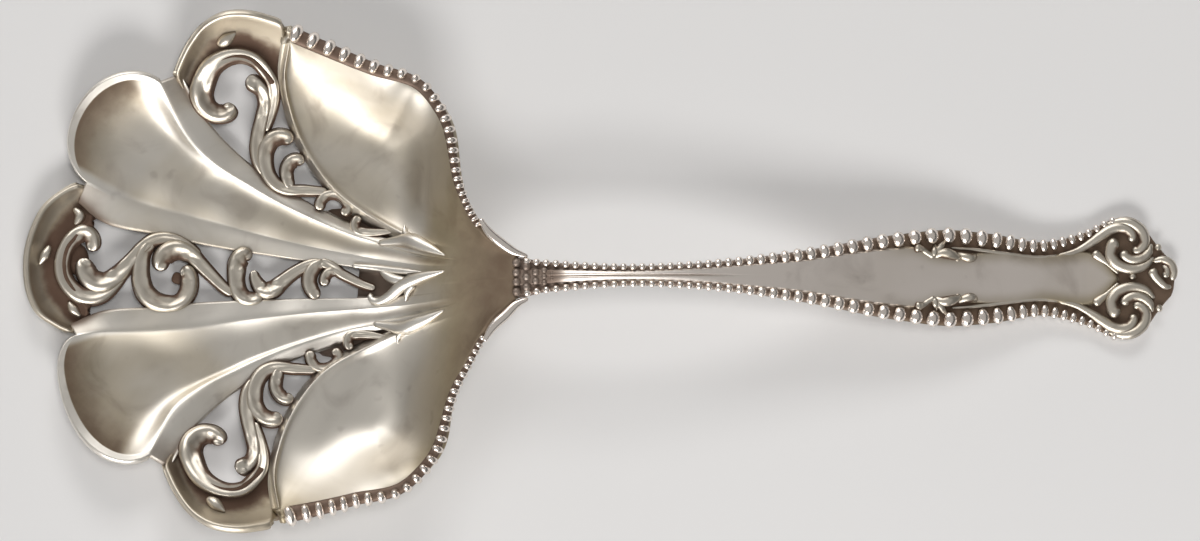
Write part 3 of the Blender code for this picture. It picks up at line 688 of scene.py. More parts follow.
def faired(points, side):
    """Heights that pass into one smooth surface by the neck: the sum of powers of x times even powers of the
    share of the way out to the edge that fits the grid there best, by least squares."""
    x, y, z = np.moveaxis(points, -1, 0)
    edge_x, edge_y = np.array(SHOULDER_EDGE[side][:NECK_POINTS][::-1]).T
    way = y / np.interp(x, edge_x, edge_y)
    terms = np.stack([(x / NECK_REACH) ** i * way ** j for i, j in FAIR_POWERS], axis=-1)
    weight = np.sqrt(np.abs(np.gradient(way, axis=1))) * (x > -NECK_REACH)
    weighted = (terms * weight[..., None]).reshape(-1, len(FAIR_POWERS))
    factors = np.linalg.lstsq(weighted, (z * weight).ravel(), rcond=None)[0]
    return z + (terms @ factors - z) * ramp(x, -NECK_REACH, NECK_BLEND - NECK_REACH)


def hand_worked(plan):
    """Unevenness of hammered and rubbed sheet: crossing sine waves, a few hundredths of a millimetre."""
    x, y = plan[..., 0], plan[..., 1]
    return WAVE_HEIGHT * sum(np.sin(a * x + b * y + c) for a, b, c in WAVES)


print("terms of the fairing surface:", len(FAIR_POWERS))

# %% [markdown]
# ## One sheet from all strips
# The strips of a half lie side by side in one grid, from the axis to the beaded edge, and the cells of
# the openings are left out. The two halves share their middle column. Boolean cuts could pierce a plain
# dish, but cells left out of a grid give clean round rims at once.

# %% the whole sheet
SHEET_ROWS, ROW_POWER = 150, 1.5
ROW_SHARES = (1 - (1 - np.linspace(0, 1, SHEET_ROWS)) ** ROW_POWER)[:, None]
COLUMNS = {"ground": 8, "flange": 9, "flute": 60, "web": 10, "rim": 7, "shoulder": 46}
CENTER_OPEN, SIDE_OPEN = 0.345, 0.5
GROUND_WALL, WEB_WALL = (0.75, 1.0), 0.2
END_DIP, END_SPAN = 0.5, (0.9, 1.0)
END_FILM, END_FILM_SPAN = 0.55, (0.87, 0.98)
FLANGE_FILM, FLANGE_FILM_POWER = 0.6, 4
BANK_BRIGHT, RIM_DARK, RIM_POWER = 0.4, 0.4, 0.6
INNER_ROUND, OUTER_ROUND = (4, 5), (5, 8)
THROAT_SPAN, THROAT_DARK = (-14.0, -3.0), 0.55
NECK_SPAN, NECK_DARK = (-8.0, -1.0), 0.25
ALL_ROWS = 2


def strip(a, b, s, drop, recess):
    """Sheet between two rails, some drop below the dish, with its shades."""
    plan = a + (b - a) * s[..., None]
    shade = np.broadcast_to(recess, plan.shape[:2])
    return lift(plan, dish(plan[..., 0], plan[..., 1]) - drop), shade, 0 * shade


def half_strips(t, side):
    """The strips of one half from the axis outward: ground, inner flange, flute, outer flange, web, rim of
    the shoulder and shoulder. Each is (points, recess, tone)."""
    center, inner, outer = rail(CENTER_EDGE, t), rail(FLUTE_INNER, t), rail(FLUTE_OUTER, t)
    edge, foot, ridge = rail(SIDE_EDGE, t), ridge_foot(t), rail(SHOULDER_RIDGE, t)
    ground, flange, across, web, rim, panel = (np.linspace(0, 1, count, endpoint=False)[None]
                                               for count in COLUMNS.values())
    drop, sink = flange_drop(t), ground_sink(t)
    end_drop = drop + END_DIP * ramp(t, *END_SPAN)
    # The sunk ground and web are painted dark: painted shade for the small shaded openings, and tarnish;     its bank is lighter.
    dark = ramp(sink - drop, 0, GROUND_SINK)
    bank = ramp(ground, *GROUND_WALL)
    hollow = ramp(web, 0, WEB_WALL) * ramp(web, 1, 1 - WEB_WALL)

    def film(share):
        """Tarnish along a flange's outer edge, and tarnish with painted shade at its end under the hoods."""
        along_edge = FLANGE_FILM * share ** FLANGE_FILM_POWER * ramp(t, *THROAT_FADE)
        # Painted shade with tarnish: a flange's end darkens under the hood.
        return along_edge + END_FILM * ramp(t, *END_FILM_SPAN)

    return [
        strip(center * (1, 0), center, ground, sink + (INNER_FLANGE * drop - sink) * bank,
              dark * (1 - BANK_BRIGHT * bank)),
        strip(center, inner, flange, INNER_FLANGE * end_drop * (1 - flange), film(1 - flange)),
        flute(across, t, side),
        strip(outer, edge, flange, end_drop * flange, film(flange)),
        strip(edge, foot, web, drop + (sink - drop) * hollow, dark * hollow),
        strip(foot, ridge, rim, drop * (1 - rim) - ridge_rise(t) * rim ** RIM_POWER,
              RIM_DARK * (1 - rim) * ramp(t, *THROAT_FADE)),
        shoulder(np.append(panel, 1.0)[None], t, side),
    ]


def half_bowl(side):
    """Grid of one half from the axis outward, its two shades, and which of its cells are sheet."""
    t = ROW_SHARES
    strips = half_strips(t, side)
    points, recess, tone = (np.concatenate([part[k] for part in strips], axis=1) for k in range(3))
    widths = [part[0].shape[1] for part in strips]
    ends = np.cumsum(widths)
    closed_to = np.repeat((CENTER_OPEN, *[ALL_ROWS] * 3, SIDE_OPEN, *[ALL_ROWS] * 2), widths)[:-1]
    z = rounded_over(points[..., 2], ends[1], *INNER_ROUND)
    z = rounded_over(z, ends[2], *OUTER_ROUND)
    points[..., 2] = z + hand_worked(points * (1, side, 1))
    points[..., 2] = faired(points, side)
    throat, neck = (ramp(points[..., 0], *span) for span in (THROAT_SPAN, NECK_SPAN))
    recess = np.maximum(recess, THROAT_DARK * throat + NECK_DARK * neck)
    return points, recess, np.maximum(tone, throat), t[:-1] < closed_to


left, right = half_bowl(1), half_bowl(-1)
sheet_grid = np.concatenate((right[0][:, :0:-1] * (1, -1, 1), left[0]), axis=1)
sheet_shades = [np.concatenate((right[k][:, :0:-1], left[k]), axis=1) for k in (1, 2)]
sheet_cells = np.concatenate((right[3][:, ::-1], left[3]), axis=1)
bowl_sheet = thick_sheet(sheet_grid, sheet_cells, SHEET, *sheet_shades, ground=0.0)
add_piece("bowl_sheet", bowl_to_row, bowl_sheet, bowl_finish, ["bowl"])

# %% [markdown]
# ## Hoods
# At the rim each pierced panel ends in a hood: a crescent trough, bright on its rim and brown in its
# hollow, that shelters a volute. On the real spoon it is struck from the same sheet. Here it is a sheet
# of its own between two curves, because it has to dive under the flanges that it meets, which one grid
# with the bowl could not do.

# %% hoods
HOOD_RIM, HOOD_DEPTH, TROUGH_POWER = 0.94, 1.3, 0.8
HOOD_TUCK, TUCK_START, TUCK_SKEW, TUCK_RUN = 1.25, 0.02, 0.07, 0.06
HOOD_BRIGHT, HOOD_TONE, TUCK_DARK = (0.38, 0.93), 0.4, 0.7
HOOD_ROWS, HOOD_COLUMNS = 110, 32
HOODS = {
    "lip": {
        "outer": ((-44.6, 8.2), (-45.9, 8.45), (-47.0, 8.15), (-48, 7.5), (-49.6, 6.0), (-50.65, 3.6),
                  (-51.15, 1.0), (-51.1, -1.0), (-50.65, -3.2), (-49.6, -5.2), (-48, -6.8), (-47.0, -7.7),
                  (-45.9, -8.3), (-44.6, -8.2)),
        "inner": ((-43.2, 6.4), (-45.0, 4.6), (-46.3, 3.4), (-47.2, 1.8), (-47.4, -0.3), (-46.9, -1.9),
                  (-45.6, -3.4), (-43.2, -6.4)),
    },
    "side": {
        "outer": ((-36.7, 19.2), (-36.5, 20.9), (-36.1, 21.9), (-35.2, 23.6), (-33.8, 25.3), (-32, 26.3),
                  (-29.6, 26.6), (-27.4, 26.3), (-25.8, 25.8), (-25.0, 24.8)),
        "inner": ((-34.2, 15.2), (-34.1, 17.2), (-34.1, 18.6), (-33.7, 20.2), (-32.9, 21.6), (-31.5, 22.5),
                  (-30, 22.8), (-28.5, 22.4), (-27.4, 21.4), (-26.2, 20.2), (-24.8, 18.4)),
    },
}


def hood(outline):
    """Sheet between a scroll and a rim: a sine trough from the inner curve to the outer one. At its two ends
    the whole sheet sinks, so that it tucks under the flange or ridge that it meets."""
    u = np.linspace(0, 1, HOOD_ROWS)[:, None]
    share = np.linspace(0, 1, HOOD_COLUMNS)[None]
    inner, outer = rail(outline["inner"], u), rail(outline["outer"], u)
    plan = inner + (outer - inner) * share[..., None]
    hidden = TUCK_START + TUCK_SKEW * (1 - share)
    tuck = 1 - ramp(u, hidden, hidden + TUCK_RUN) * ramp(1 - u, hidden, hidden + TUCK_RUN)
    trough = np.sin(math.pi * np.clip(share / HOOD_RIM, 0, 1)) ** TROUGH_POWER
    depth = np.maximum(HOOD_DEPTH * trough, HOOD_TUCK * tuck)
    cells = np.ones((HOOD_ROWS - 1, HOOD_COLUMNS - 1), bool)
    # Painted shade: where the ends tuck under a flange or ridge, the hood is darker.
    recess = np.maximum(1 - ramp(share, *HOOD_BRIGHT), TUCK_DARK * tuck)
    return thick_sheet(lift(plan, dish(plan[..., 0], plan[..., 1]) - depth), cells, SHEET, recess, HOOD_TONE)


lip_hood, side_hood = hood(HOODS["lip"]), hood(HOODS["side"])
print("points of lip hood and side hood:", len(lip_hood[0]), len(side_hood[0]))

# %% [markdown]
# ## Running scrolls
# From each hood a vine of C and S scrolls runs down to the throat. On the real spoon it is struck,
# pierced and then carved, so each scroll has a groove in its face, and its root is dark with tarnish and
# painted shade. Tracing the piercings would give flat sheet. Here every scroll is a bar with a swelling
# radius, laid on the dish along a few points, with a wider and flatter dark bar under it for the root:
# tarnish and painted shade. Each entry below is its points in plan and its radii.

# %% scrolls of the center panel
LIP_SCROLLS = (
    (((-40.6, 0.2), (-41.8, -1.6), (-43.4, -3.0), (-45.2, -3.1), (-46.7, -2.1), (-47.5, -0.4), (-47.3, 1.5),
      (-46.4, 3.0), (-45.3, 3.6), (-44.5, 2.9), (-44.5, 1.6)), (0.3, 0.6, 0.8, 0.75, 0.7, 0.75, 0.6)),
    (((-45.3, 0.9), (-45.1, -0.3), (-44.3, -1.4), (-43, -1.6), (-41.7, -0.7), (-40.5, 0.8), (-39.3, 2.3),
      (-38.2, 3.2), (-36.8, 3.5), (-35.3, 3.2), (-34.2, 2.6), (-33.2, 1.9)),
     (0.8, 1.0, 0.85, 0.6, 0.62, 0.55, 0.35)),
    (((-38.2, 3.0), (-39.0, 2.0), (-39.3, 0.5), (-39.2, -1.0), (-38.7, -2.3), (-37.6, -3.2), (-36.2, -3.4),
      (-35.0, -3.1), (-34.3, -2.2), (-34.1, -1.0), (-34.4, 0.0), (-35.1, 0.3)),
     (0.5, 0.7, 0.85, 0.9, 0.75, 0.8, 0.75)),
    (((-37.1, 0.0), (-37.2, 1.2), (-36.5, 2.1), (-35.4, 2.4), (-34.2, 2.0), (-33.2, 1.1), (-32.2, 0.2),
      (-31.2, -0.7), (-30.2, -1.5), (-29.4, -1.9)), (0.6, 0.95, 0.88, 0.7, 0.6, 0.5, 0.4)),
    (((-27.7, 2.2), (-28.6, 2.3), (-29.2, 1.5), (-29.3, 0.4), (-29.2, -0.8), (-28.8, -1.8), (-28.1, -2.3),
      (-27.2, -2.3), (-26.4, -1.9)), (0.5, 0.82, 0.82, 0.74, 0.75, 0.65, 0.5)),
    (((-27.5, 0.7), (-27.3, -0.1), (-26.8, -0.9), (-26.2, -1.4), (-25.4, -1.2), (-24.5, -0.4), (-23.5, 0.5),
      (-22.5, 1.2), (-21.5, 1.7), (-20.4, 1.9)), (0.3, 0.6, 0.8, 0.65, 0.55, 0.5, 0.45)),
    (((-20.0, 1.9), (-20.9, 1.6), (-21.5, 0.8), (-21.6, -0.2), (-21.2, -1.1), (-20.5, -1.8)),
     (0.4, 0.62, 0.65, 0.62, 0.5)),
    (((-18.6, 1.0), (-19.5, 1.0), (-20.0, 0.4), (-19.9, -0.5)), (0.25, 0.45, 0.45, 0.5)),
    (((-20.6, 2.0), (-19.3, 1.6), (-18.3, 0.9), (-17.2, 0.4), (-16.0, -0.1), (-14.6, -0.5)),
     (0.5, 0.45, 0.38, 0.28)),
)
print("scrolls in the center panel:", len(LIP_SCROLLS))

# %% scrolls of a side panel
SIDE_SCROLLS = (
    (((-27.2, 15.3), (-26.7, 17.0), (-26.4, 18.8), (-26.6, 20.2), (-27.4, 21.4), (-28.5, 22.4),
      (-30.0, 22.8), (-31.5, 22.5), (-32.9, 21.6), (-33.7, 20.2), (-34.0, 18.6), (-33.4, 17.4),
      (-32.3, 16.8), (-31.2, 17.0), (-30.7, 17.9)), (0.4, 0.5, 0.58, 0.62, 0.75, 0.98, 1.1, 0.88, 0.85)),
    (((-26.9, 10.8), (-27.6, 12.0), (-27.9, 13.5), (-27.8, 15.1), (-27.5, 16.8), (-27.3, 18.3),
      (-27.7, 19.5), (-28.5, 20.1), (-29.3, 20.6)), (0.42, 0.6, 0.66, 0.62, 0.62, 0.68, 0.85)),
    (((-24.2, 14.4), (-25.2, 14.9), (-26.3, 14.6), (-27.0, 13.4), (-27.0, 12.2), (-26.6, 10.9),
      (-25.8, 9.9), (-24.8, 9.4), (-22.6, 9.4), (-20.3, 9.4)), (0.6, 0.8, 0.75, 0.65, 0.55, 0.48, 0.36)),
    (((-22.9, 12.3), (-23.7, 12.6), (-24.3, 12.3), (-24.7, 11.5), (-24.6, 10.6), (-24.1, 9.5)),
     (0.4, 0.62, 0.6, 0.55, 0.42)),
    (((-21.0, 7.4), (-20.9, 8.4), (-20.2, 9.1), (-19.2, 9.1), (-18.4, 8.6), (-18.0, 7.8), (-18.6, 7.1)),
     (0.46, 0.45, 0.42, 0.4, 0.46)),
    (((-16.7, 7.0), (-17.2, 6.3), (-17.0, 5.6), (-16.2, 5.4), (-15.0, 5.4), (-13.0, 5.6)),
     (0.42, 0.42, 0.36, 0.2)),
)
print("scrolls in each side panel:", len(SIDE_SCROLLS))

# %% [markdown]
# ## Leaves
# Small pointed leaves lie in the hoods, and a thorny sprig ends each panel in the throat. They are carved
# in low relief, so they are short bars that taper to a point. The third value of a leaf is how far it is
# raised, as a share of its radius. Two flat dark bars, the eyes, fill the deep hollows inside the center
# panel's curls: painted shade in the hollows, and tarnish.

# %% leaves and eyes
LIP_LEAVES = (
    (((-48.9, 2.0), (-49.3, 1.0), (-49.9, -0.1)), (0.25, 0.5, 0.1), 0.5),
    (((-46.7, 6.1), (-46.0, 5.3), (-46.4, 4.2)), (0.2, 0.55, 0.3), 0.3),
    (((-46.6, -3.7), (-46.0, -4.6), (-45.2, -5.4)), (0.25, 0.55, 0.2), 0.2),
)
SIDE_LEAVES = ((((-32.5, 23.7), (-31.8, 24.1), (-30.6, 25.0)), (0.4, 0.65, 0.08), 0.1),)
THROAT_LEAVES = (
    (((-15.1, -1.0), (-14.9, -1.7), (-14.3, -1.9), (-13.1, -1.4), (-11.9, -0.3), (-10.1, 0.6),
      (-7.2, 1.25)), (0.3, 0.45, 0.6, 0.68, 0.62, 0.4, 0.05), 0.45),
    (((-14.4, 1.75), (-13.7, 1.05), (-12.6, 0.5), (-11.3, 0.3)), (0.08, 0.45, 0.55, 0.4), 0.4),
    (((-17.2, 1.75), (-15.6, 1.7), (-14.2, 1.6), (-12.2, 1.4), (-9.6, 1.25)),
     (0.2, 0.3, 0.36, 0.34, 0.06), 0.4),
    (((-11.3, -1.8), (-11.1, -0.8), (-10.5, 0.05)), (0.1, 0.38, 0.4), 0.4),
)
THORN = (
    (((-14.6, 4.2), (-13.0, 4.45), (-11.4, 4.65), (-9.5, 3.95), (-7.2, 2.85)),
     (0.3, 0.55, 0.8, 0.55, 0.05), 0.35),
    (((-11.85, 6.3), (-11.8, 5.5), (-11.3, 4.8)), (0.05, 0.34, 0.6), 0.35),
)
# Eyes: flat bars painted dark, for painted shade and tarnish in the curls' hollows.
LIP_EYES = (
    (((-46.6, 2.4), (-46.1, 1.4), (-45.9, 0.2), (-45.5, -1.0)), (0.6, 1.1, 1.2, 0.6)),
    (((-36.0, -0.9), (-35.4, -0.6), (-34.8, -0.4)), (0.4, 0.7, 0.4)),
)
print("leaves:", sum(map(len, (LIP_LEAVES, SIDE_LEAVES, THROAT_LEAVES, THORN))))

# %% [markdown]
# ## Panels
# Now each hood, its scrolls and its leaves are joined to one piece, as they are one panel on the real
# spoon. The leaves in the throat belong to the bowl and share its finish.

# %% the scroll panels
SCROLL_SWELL, SCROLL_SINK, SCROLL_FLAT, SCROLL_HOLLOW = 1.1, 0.35, 0.8, 0.42
ROOT_SPREAD, ROOT_SINK, ROOT_FLAT = 0.14, 0.9, 0.4
EYE_SINK, EYE_FLAT = 1.1, 0.3
LEAF_SINK, LEAF_ROWS, LEAF_DARK = 0.75 * HOOD_DEPTH, 24, 0.6
SCROLL_SIDES, TOP_ROWS, ROOT_ROWS = 22, 8, 6


def sunk(depth):
    """The dish some depth lower, as a surface for bars to lie on."""
    return lambda x, y: dish(x, y) - depth


def vine(scrolls, side):
    """Scrolls half sunk in the dish, and the wider dark root of each, painted with tarnish and shade."""
    tops, roots = [], []
    for points, radii in scrolls:
        r = SCROLL_SWELL * np.array(radii)
        tops.append(bar(points, r, sunk(SCROLL_SINK), side=side, flat=SCROLL_FLAT, sides=SCROLL_SIDES,
                        rows=TOP_ROWS * len(points), hollow=SCROLL_HOLLOW))
        # The root is a dark bar under the scroll: painted shade and tarnish.
        roots.append(bar(points, r + ROOT_SPREAD, sunk(ROOT_SINK), side=side, flat=ROOT_FLAT,
                         rows=ROOT_ROWS * len(points), base=1.0))
    return tops + roots


def leaves(strokes, side, floor):
    """Short bars that lie on a hood or in the throat."""
    return [bar(points, radii, floor, raised, side, rows=LEAF_ROWS, dark=LEAF_DARK)
            for points, radii, raised in strokes]


# The eyes are dark all over: painted shade and tarnish.
eyes = [bar(points, radii, sunk(EYE_SINK), flat=EYE_FLAT, base=1.0) for points, radii in LIP_EYES]
panel = merge([lip_hood, *eyes, *vine(LIP_SCROLLS, 1), *leaves(LIP_LEAVES, 1, sunk(LEAF_SINK))])
add_piece("center_scrolls", bowl_to_row, panel, scroll_finish, ["center_scroll_panel"])
SIDES = (("left", 1), ("right", -1))
for name, side in SIDES:
    panel = merge([for_side(side_hood, side), *vine(SIDE_SCROLLS, side),
                   *leaves(SIDE_LEAVES, side, sunk(LEAF_SINK))])
    add_piece(f"{name}_scrolls", bowl_to_row, panel, scroll_finish, [f"{name}_scroll_panel"])
throat_leaves = leaves(THROAT_LEAVES, 1, dish) + leaves(THORN, 1, dish) + leaves(THORN, -1, dish)
add_piece("throat_leaves", bowl_to_row, merge(throat_leaves), bowl_finish)

# %% [markdown]
# ## Beads of the shoulders
# A row of beads stands on each shoulder's edge, large at the tip and small near the neck. A punch makes
# such beads one by one, so they sit close together with dark corners between them: a dark bar under the
# row, painted with tarnish and painted shade. Their spacing follows their size, which an array modifier
# with one step could not do. Near the neck the row stands a little outside the edge.

# %% shoulder beads
BOWL_BEAD, BEAD_SHAPE, BEAD_SEAT = (0.3, 0.84), (0.85, 1.4, 0.95), 0.55
BEAD_PITCH, BEAD_START = 1.17, 0.13
INSIDE_EDGE, LINE_POINTS = 0.96, 500
NECK_OUT, NECK_OUT_SPAN = {1: 0.3, -1: 0.5}, (0.35, 0.0)
LEDGE_FLAT, LEDGE_DARK, LEDGE_STEP = 0.5, 0.95, 5


def spaced(line, size, pitch):
    """Shares along a line of points at which beads of the local size sit pitch diameters apart."""
    turns = np.concatenate(([0], np.cumsum(np.diff(travelled(line)) / (2 * pitch * size[:-1]))))
    count = round(turns[-1])
    return np.interp((np.arange(count) + 0.5) * turns[-1] / count, turns, np.linspace(0, 1, len(line)))


def shoulder_edge(share, side):
    """Points along a shoulder's edge, their directions (along, across, upward) and their bead radii."""
    t = (BEAD_START + (1 - BEAD_START) * share)[:, None]
    point, inside = (shoulder(np.array([[s]]), t, side)[0][:, 0] for s in (1.0, INSIDE_EDGE))
    along = unit(np.gradient(point, axis=0))
    up = np.cross(along, unit(np.cross(unit(point - inside), along)))
    up = up * np.sign(up[:, 2:])
    outward = np.stack((along[:, 1], -along[:, 0], 0 * share), -1)
    point = point + outward * (NECK_OUT[side] * ramp(share, *NECK_OUT_SPAN))[:, None]
    return point, np.stack((along, np.cross(up, along), up), 1), np.interp(share, (0, 1), BOWL_BEAD)


fine = np.linspace(0, 1, LINE_POINTS)
for name, side in SIDES:
    line, axes, size = shoulder_edge(fine, side)
    pick = np.searchsorted(fine, spaced(line, size, BEAD_PITCH))
    r = size[pick][:, None]
    row = beads(line[pick] + axes[pick, 2] * r * BEAD_SEAT, axes[pick], r * BEAD_SHAPE)
    # The ledge under the beads is painted dark: painted shade in the gaps between beads, and tarnish.
    ledge = sweep(line[::LEDGE_STEP], size[::LEDGE_STEP], flat=LEDGE_FLAT, base=LEDGE_DARK)
    made = for_side(merge([row, ledge]), side)
    add_piece(f"{name}_shoulder_beads", bowl_to_row, made, bead_finish,
              [f"{name}_bowl_beading"])
    print(f"{name} shoulder: {len(pick)} beads")

# %% [markdown]
# ## Rim of the neck
# Where the beads end, the edge of the sheet runs on to the handle as a plain bright rim, rubbed by every
# hand that took the spoon. It could be part of the sheet, but as a bar of its own it can swell and shine
# as the beads do.

# %% neck rim
NECK_RIM = {
    1: ((1.5, 2.15), (0.2, 2.6), (-1.2, 3.55), (-2.7, 4.95), (-3.5, 6.3)),
    -1: ((1.5, -2.2), (0.3, -2.75), (-0.85, -3.85), (-2.3, -5.2), (-3.05, -6.5)),
}
NECK_RIM_RADIUS = (0.2, 0.45, 0.52, 0.46, 0.22)
RIM_SINK, RIM_RAISE, RIM_SHADE = 0.1, 0.1, 0.4


def neck_level(x, y):
    """Level surface a little below the neck's height."""
    return NECK_HEIGHT - RIM_SINK + 0 * x


neck_rim = [bar(points, NECK_RIM_RADIUS, neck_level, RIM_RAISE, dark=RIM_SHADE)
            for points in NECK_RIM.values()]
add_piece("neck_rim", bowl_to_row, merge(neck_rim), bead_finish)

# %% [markdown]
# ## The handle
# The handle is a thick bar, forged to an arch. A flat panel runs along it, raised between two sunk
# borders that hold the beads. Toward the bowl the panel narrows to a pair of round threads. At the far
# end it closes in a point between two volutes. A bent box with bevels would do for the blank, but not for
# the sunk borders and threads, so it is a closed profile carried along the handle: top from edge to edge,
# then the underside.

# %% blade surface
HANDLE_THICK = 1.6
HANDLE_HALF_WIDTH = ((0, 2.15), (4, 1.72), (12.5, 1.25), (20, 1.6), (30, 2.9), (40, 4.7), (45.5, 5.25),
                     (50, 4.9), (55.5, 4.1), (60, 5.1), (63.6, 6.5), (66, 5.5), (67.5, 3.5), (68.5, 2.3),
                     (69.3, 1.5))
HANDLE_ARCH = ((0, 1), (4, 1.109), (10, 1.152), (24, 0.957), (38, 0.565), (52, 0.163), (60, 0), (69.3, 0))
PANEL_HALF_WIDTH = ((0, 0.9), (4, 0.75), (12.5, 0.5), (20, 0.8), (25, 1.2), (30, 1.65), (35, 2.45),
                    (40, 3.05), (42, 3.15), (44, 2.5), (46.5, 2.3), (48.5, 2.6), (51, 2.65), (55.5, 2.3),
                    (58.5, 2.75), (60.4, 2.7), (62, 1.6), (63.4, 0.0))
BORDER_SINK = 0.45
PANEL_EDGE, PANEL_LEAST = 0.25, 0.05
STEM_START, STEM_END = (2.0, 5.0), (28.0, 18.0)
THREAD_CROWN, CROWN_LEAST = 0.3, 0.3
THREAD_GROOVE, GROOVE_WIDTH = 0.16, 0.1
TIP_ROUND = 0.5


def half_width(x):
    """Half width of the blade; its last stretch closes as a quarter ellipse."""
    close = np.sqrt(np.maximum(0, 1 - np.clip((x - HANDLE_LENGTH + TIP_ROUND) / TIP_ROUND, 0, 1) ** 2))
    return smooth(HANDLE_HALF_WIDTH, x) * close


def handle_top(x):
    """Height of the blade's face: an arch from the neck that lies flat on the table at its end."""
    return HANDLE_THICK + (NECK_HEIGHT - HANDLE_THICK) * np.maximum(0, smooth(HANDLE_ARCH, x))


def panel_half(x):
    """Half width of the raised panel, none past its point."""
    return np.maximum(smooth(PANEL_HALF_WIDTH, x), 0)


def panel_share(x, y):
    """One on the raised panel and zero on the sunk border, with a soft step between."""
    half = panel_half(x)
    return ramp(half - np.abs(y), -PANEL_EDGE / 2, PANEL_EDGE / 2) * (half > PANEL_LEAST)


def groove_share(y):
    """One in the fine groove between the stem's threads, falling away as a bell curve."""
    return np.exp(-(y / GROOVE_WIDTH) ** 2)


def blade(x, y):
    """Face of the handle: the arch, less the sunk border, plus a crown with a fine groove along the stem."""
    panel = panel_share(x, y)
    half = np.maximum(smooth(PANEL_HALF_WIDTH, x), CROWN_LEAST)
    stem = ramp(x, *STEM_START) * ramp(x, *STEM_END)
    crown = THREAD_CROWN * (1 - np.minimum(np.abs(y) / half, 1) ** 2)
    threads = stem * (crown - THREAD_GROOVE * groove_share(y))
    return handle_top(x) - BORDER_SINK * (1 - panel) + threads * panel


print("height of the handle's face in mm at 0, 35 and 69:", handle_top(np.array((0.0, 35.0, 69.0))).round(2))

# %% [markdown]
# ## The handle's body and its film
# The blank has rounded long edges and a round tip. Brown stays on the sunk borders, in the groove of the
# stem and at the root, where the beads crowd, and a golden film follows the rim of the panel toward the
# end. These shades could be painted on, but worked out from the same outline they always fit it.

# %% handle body
HANDLE_START, HANDLE_ROWS = 0.15, 300
TIP_LENGTH, TIP_ROWS, TIP_GAP = 2.0, 24, 1e-4
TOP_POINTS, LOW_POINTS = 73, 27
BEAD_OVERHANG, OVERHANG_START, OVERHANG_END = 0.22, (1.0, 3.0), (65.0, 63.5)
EDGE_ROUND, RUB_WIDTH, RUB_SHARE = 0.4, 0.3, 0.3
SEAM_DARK, SEAM_END = 0.9, (26.0, 18.0)
ROOT_DARK, ROOT_SPAN = 0.95, (7.0, 3.8)
PANEL_FILM, FILM_START, FILM_WIDTH, PANEL_END = 0.55, (36.0, 44.0), 1.7, 64.0
END_GOLD, GOLD_START = 0.2, (50.0, 58.0)
ROOT_SHADES, TIP_SHADE = (0.5, 0.0), 0.2


def blade_shades(x, y, half):
    """Recess and tone of the face: brown border, groove and root, golden film along the panel's rim."""
    rubbed = 1 - RUB_SHARE * ramp(np.abs(y), half - RUB_WIDTH, half)
    stem = ramp(x, *STEM_START) * ramp(x, *SEAM_END)
    dark = np.maximum((1 - panel_share(x, y)) * rubbed, SEAM_DARK * stem * groove_share(y))
    dark = np.maximum(dark, ROOT_DARK * ramp(x, *ROOT_SPAN))
    inside = np.minimum(panel_half(x) - np.abs(y), PANEL_END - x)
    film = PANEL_FILM * ramp(x, *FILM_START) * ramp(inside, FILM_WIDTH, 0) + END_GOLD * ramp(x, *GOLD_START)
    return dark, film


def handle_body():
    """Closed profile carried along the handle: sine-spaced points over the face and back under it. Both long
    edges are rounded as quarter ellipses, and rows crowd toward the tip with a cosine."""
    tip = np.cos(np.linspace(0, 1, TIP_ROWS)[1:] * math.pi / 2)
    straight = np.linspace(HANDLE_START, HANDLE_LENGTH - TIP_LENGTH, HANDLE_ROWS)
    x = np.append(straight, HANDLE_LENGTH - TIP_LENGTH * tip)
    x[-1] = HANDLE_LENGTH - TIP_GAP
    x = x[:, None]
    half = half_width(x) - BEAD_OVERHANG * ramp(x, *OVERHANG_START) * ramp(x, *OVERHANG_END)
    y_top = half * np.sin(math.pi / 2 * np.linspace(-1, 1, TOP_POINTS))[None]
    y_low = half * np.sin(math.pi / 2 * np.linspace(1, -1, LOW_POINTS))[None, 1:-1]

    def fillet(y):
        """Fall of a rounded long edge."""
        e = np.clip((np.abs(y) - half + EDGE_ROUND) / EDGE_ROUND, 0, 1)
        return HANDLE_THICK / 2 * (1 - np.sqrt(1 - e * e))

    z_top = np.maximum(blade(x, y_top) - fillet(y_top), handle_top(x) - HANDLE_THICK / 2)
    z_low = handle_top(x) - HANDLE_THICK + fillet(y_low)
    y, z = np.concatenate((y_top, y_low), 1), np.concatenate((z_top, z_low), 1)
    rings = np.stack((x + 0 * y, y, z), -1)[:, ::-1]
    poles = np.array([(end, 0.0, handle_top(end) - HANDLE_THICK / 2) for end in (x[0, 0], x[-1, 0])])
    poles[1, 0] = HANDLE_LENGTH
    mesh, faces = closed_rings(rings, *poles)
    shades = []
    for root, grid in zip(ROOT_SHADES, blade_shades(x, y_top, half)):
        skin = np.concatenate((grid, 0 * y_low), 1)[:, ::-1]
        shades.append(np.concatenate(([root], skin.ravel(), [TIP_SHADE])))
    return patch(mesh, faces, *shades)


add_piece("handle_blade", handle_to_row, handle_body(), handle_finish, ["handle"])

# %% [markdown]
# ## Beads of the handle
# The handle's beads start as small balls at the neck and grow into long drops beside the panel, each
# pointing inward. The same spacing as on the shoulders puts them along both edges, so no bead needs a
# place of its own.

# %% handle beads
HANDLE_BEAD = ((0, 0.42), (22, 0.44), (30, 0.58), (36, 0.66), (48, 0.72), (53, 0.52), (57, 0.42),
               (64, 0.36))
BEAD_LENGTH = ((0, 1.0), (20, 1.05), (30, 1.25), (47, 1.25), (53, 1.6), (58, 1.5), (64, 1.1))
HANDLE_BEAD_RUN = (0.9, 64.2)
HANDLE_PITCH, LINE_INSET, DROP_INSET = 1.24, 0.85, 0.94
DROP_SEAT, DROP_LIFT, DROP_HEIGHT = 0.42, 0.1, 0.95
BORDER_POINTS = 600


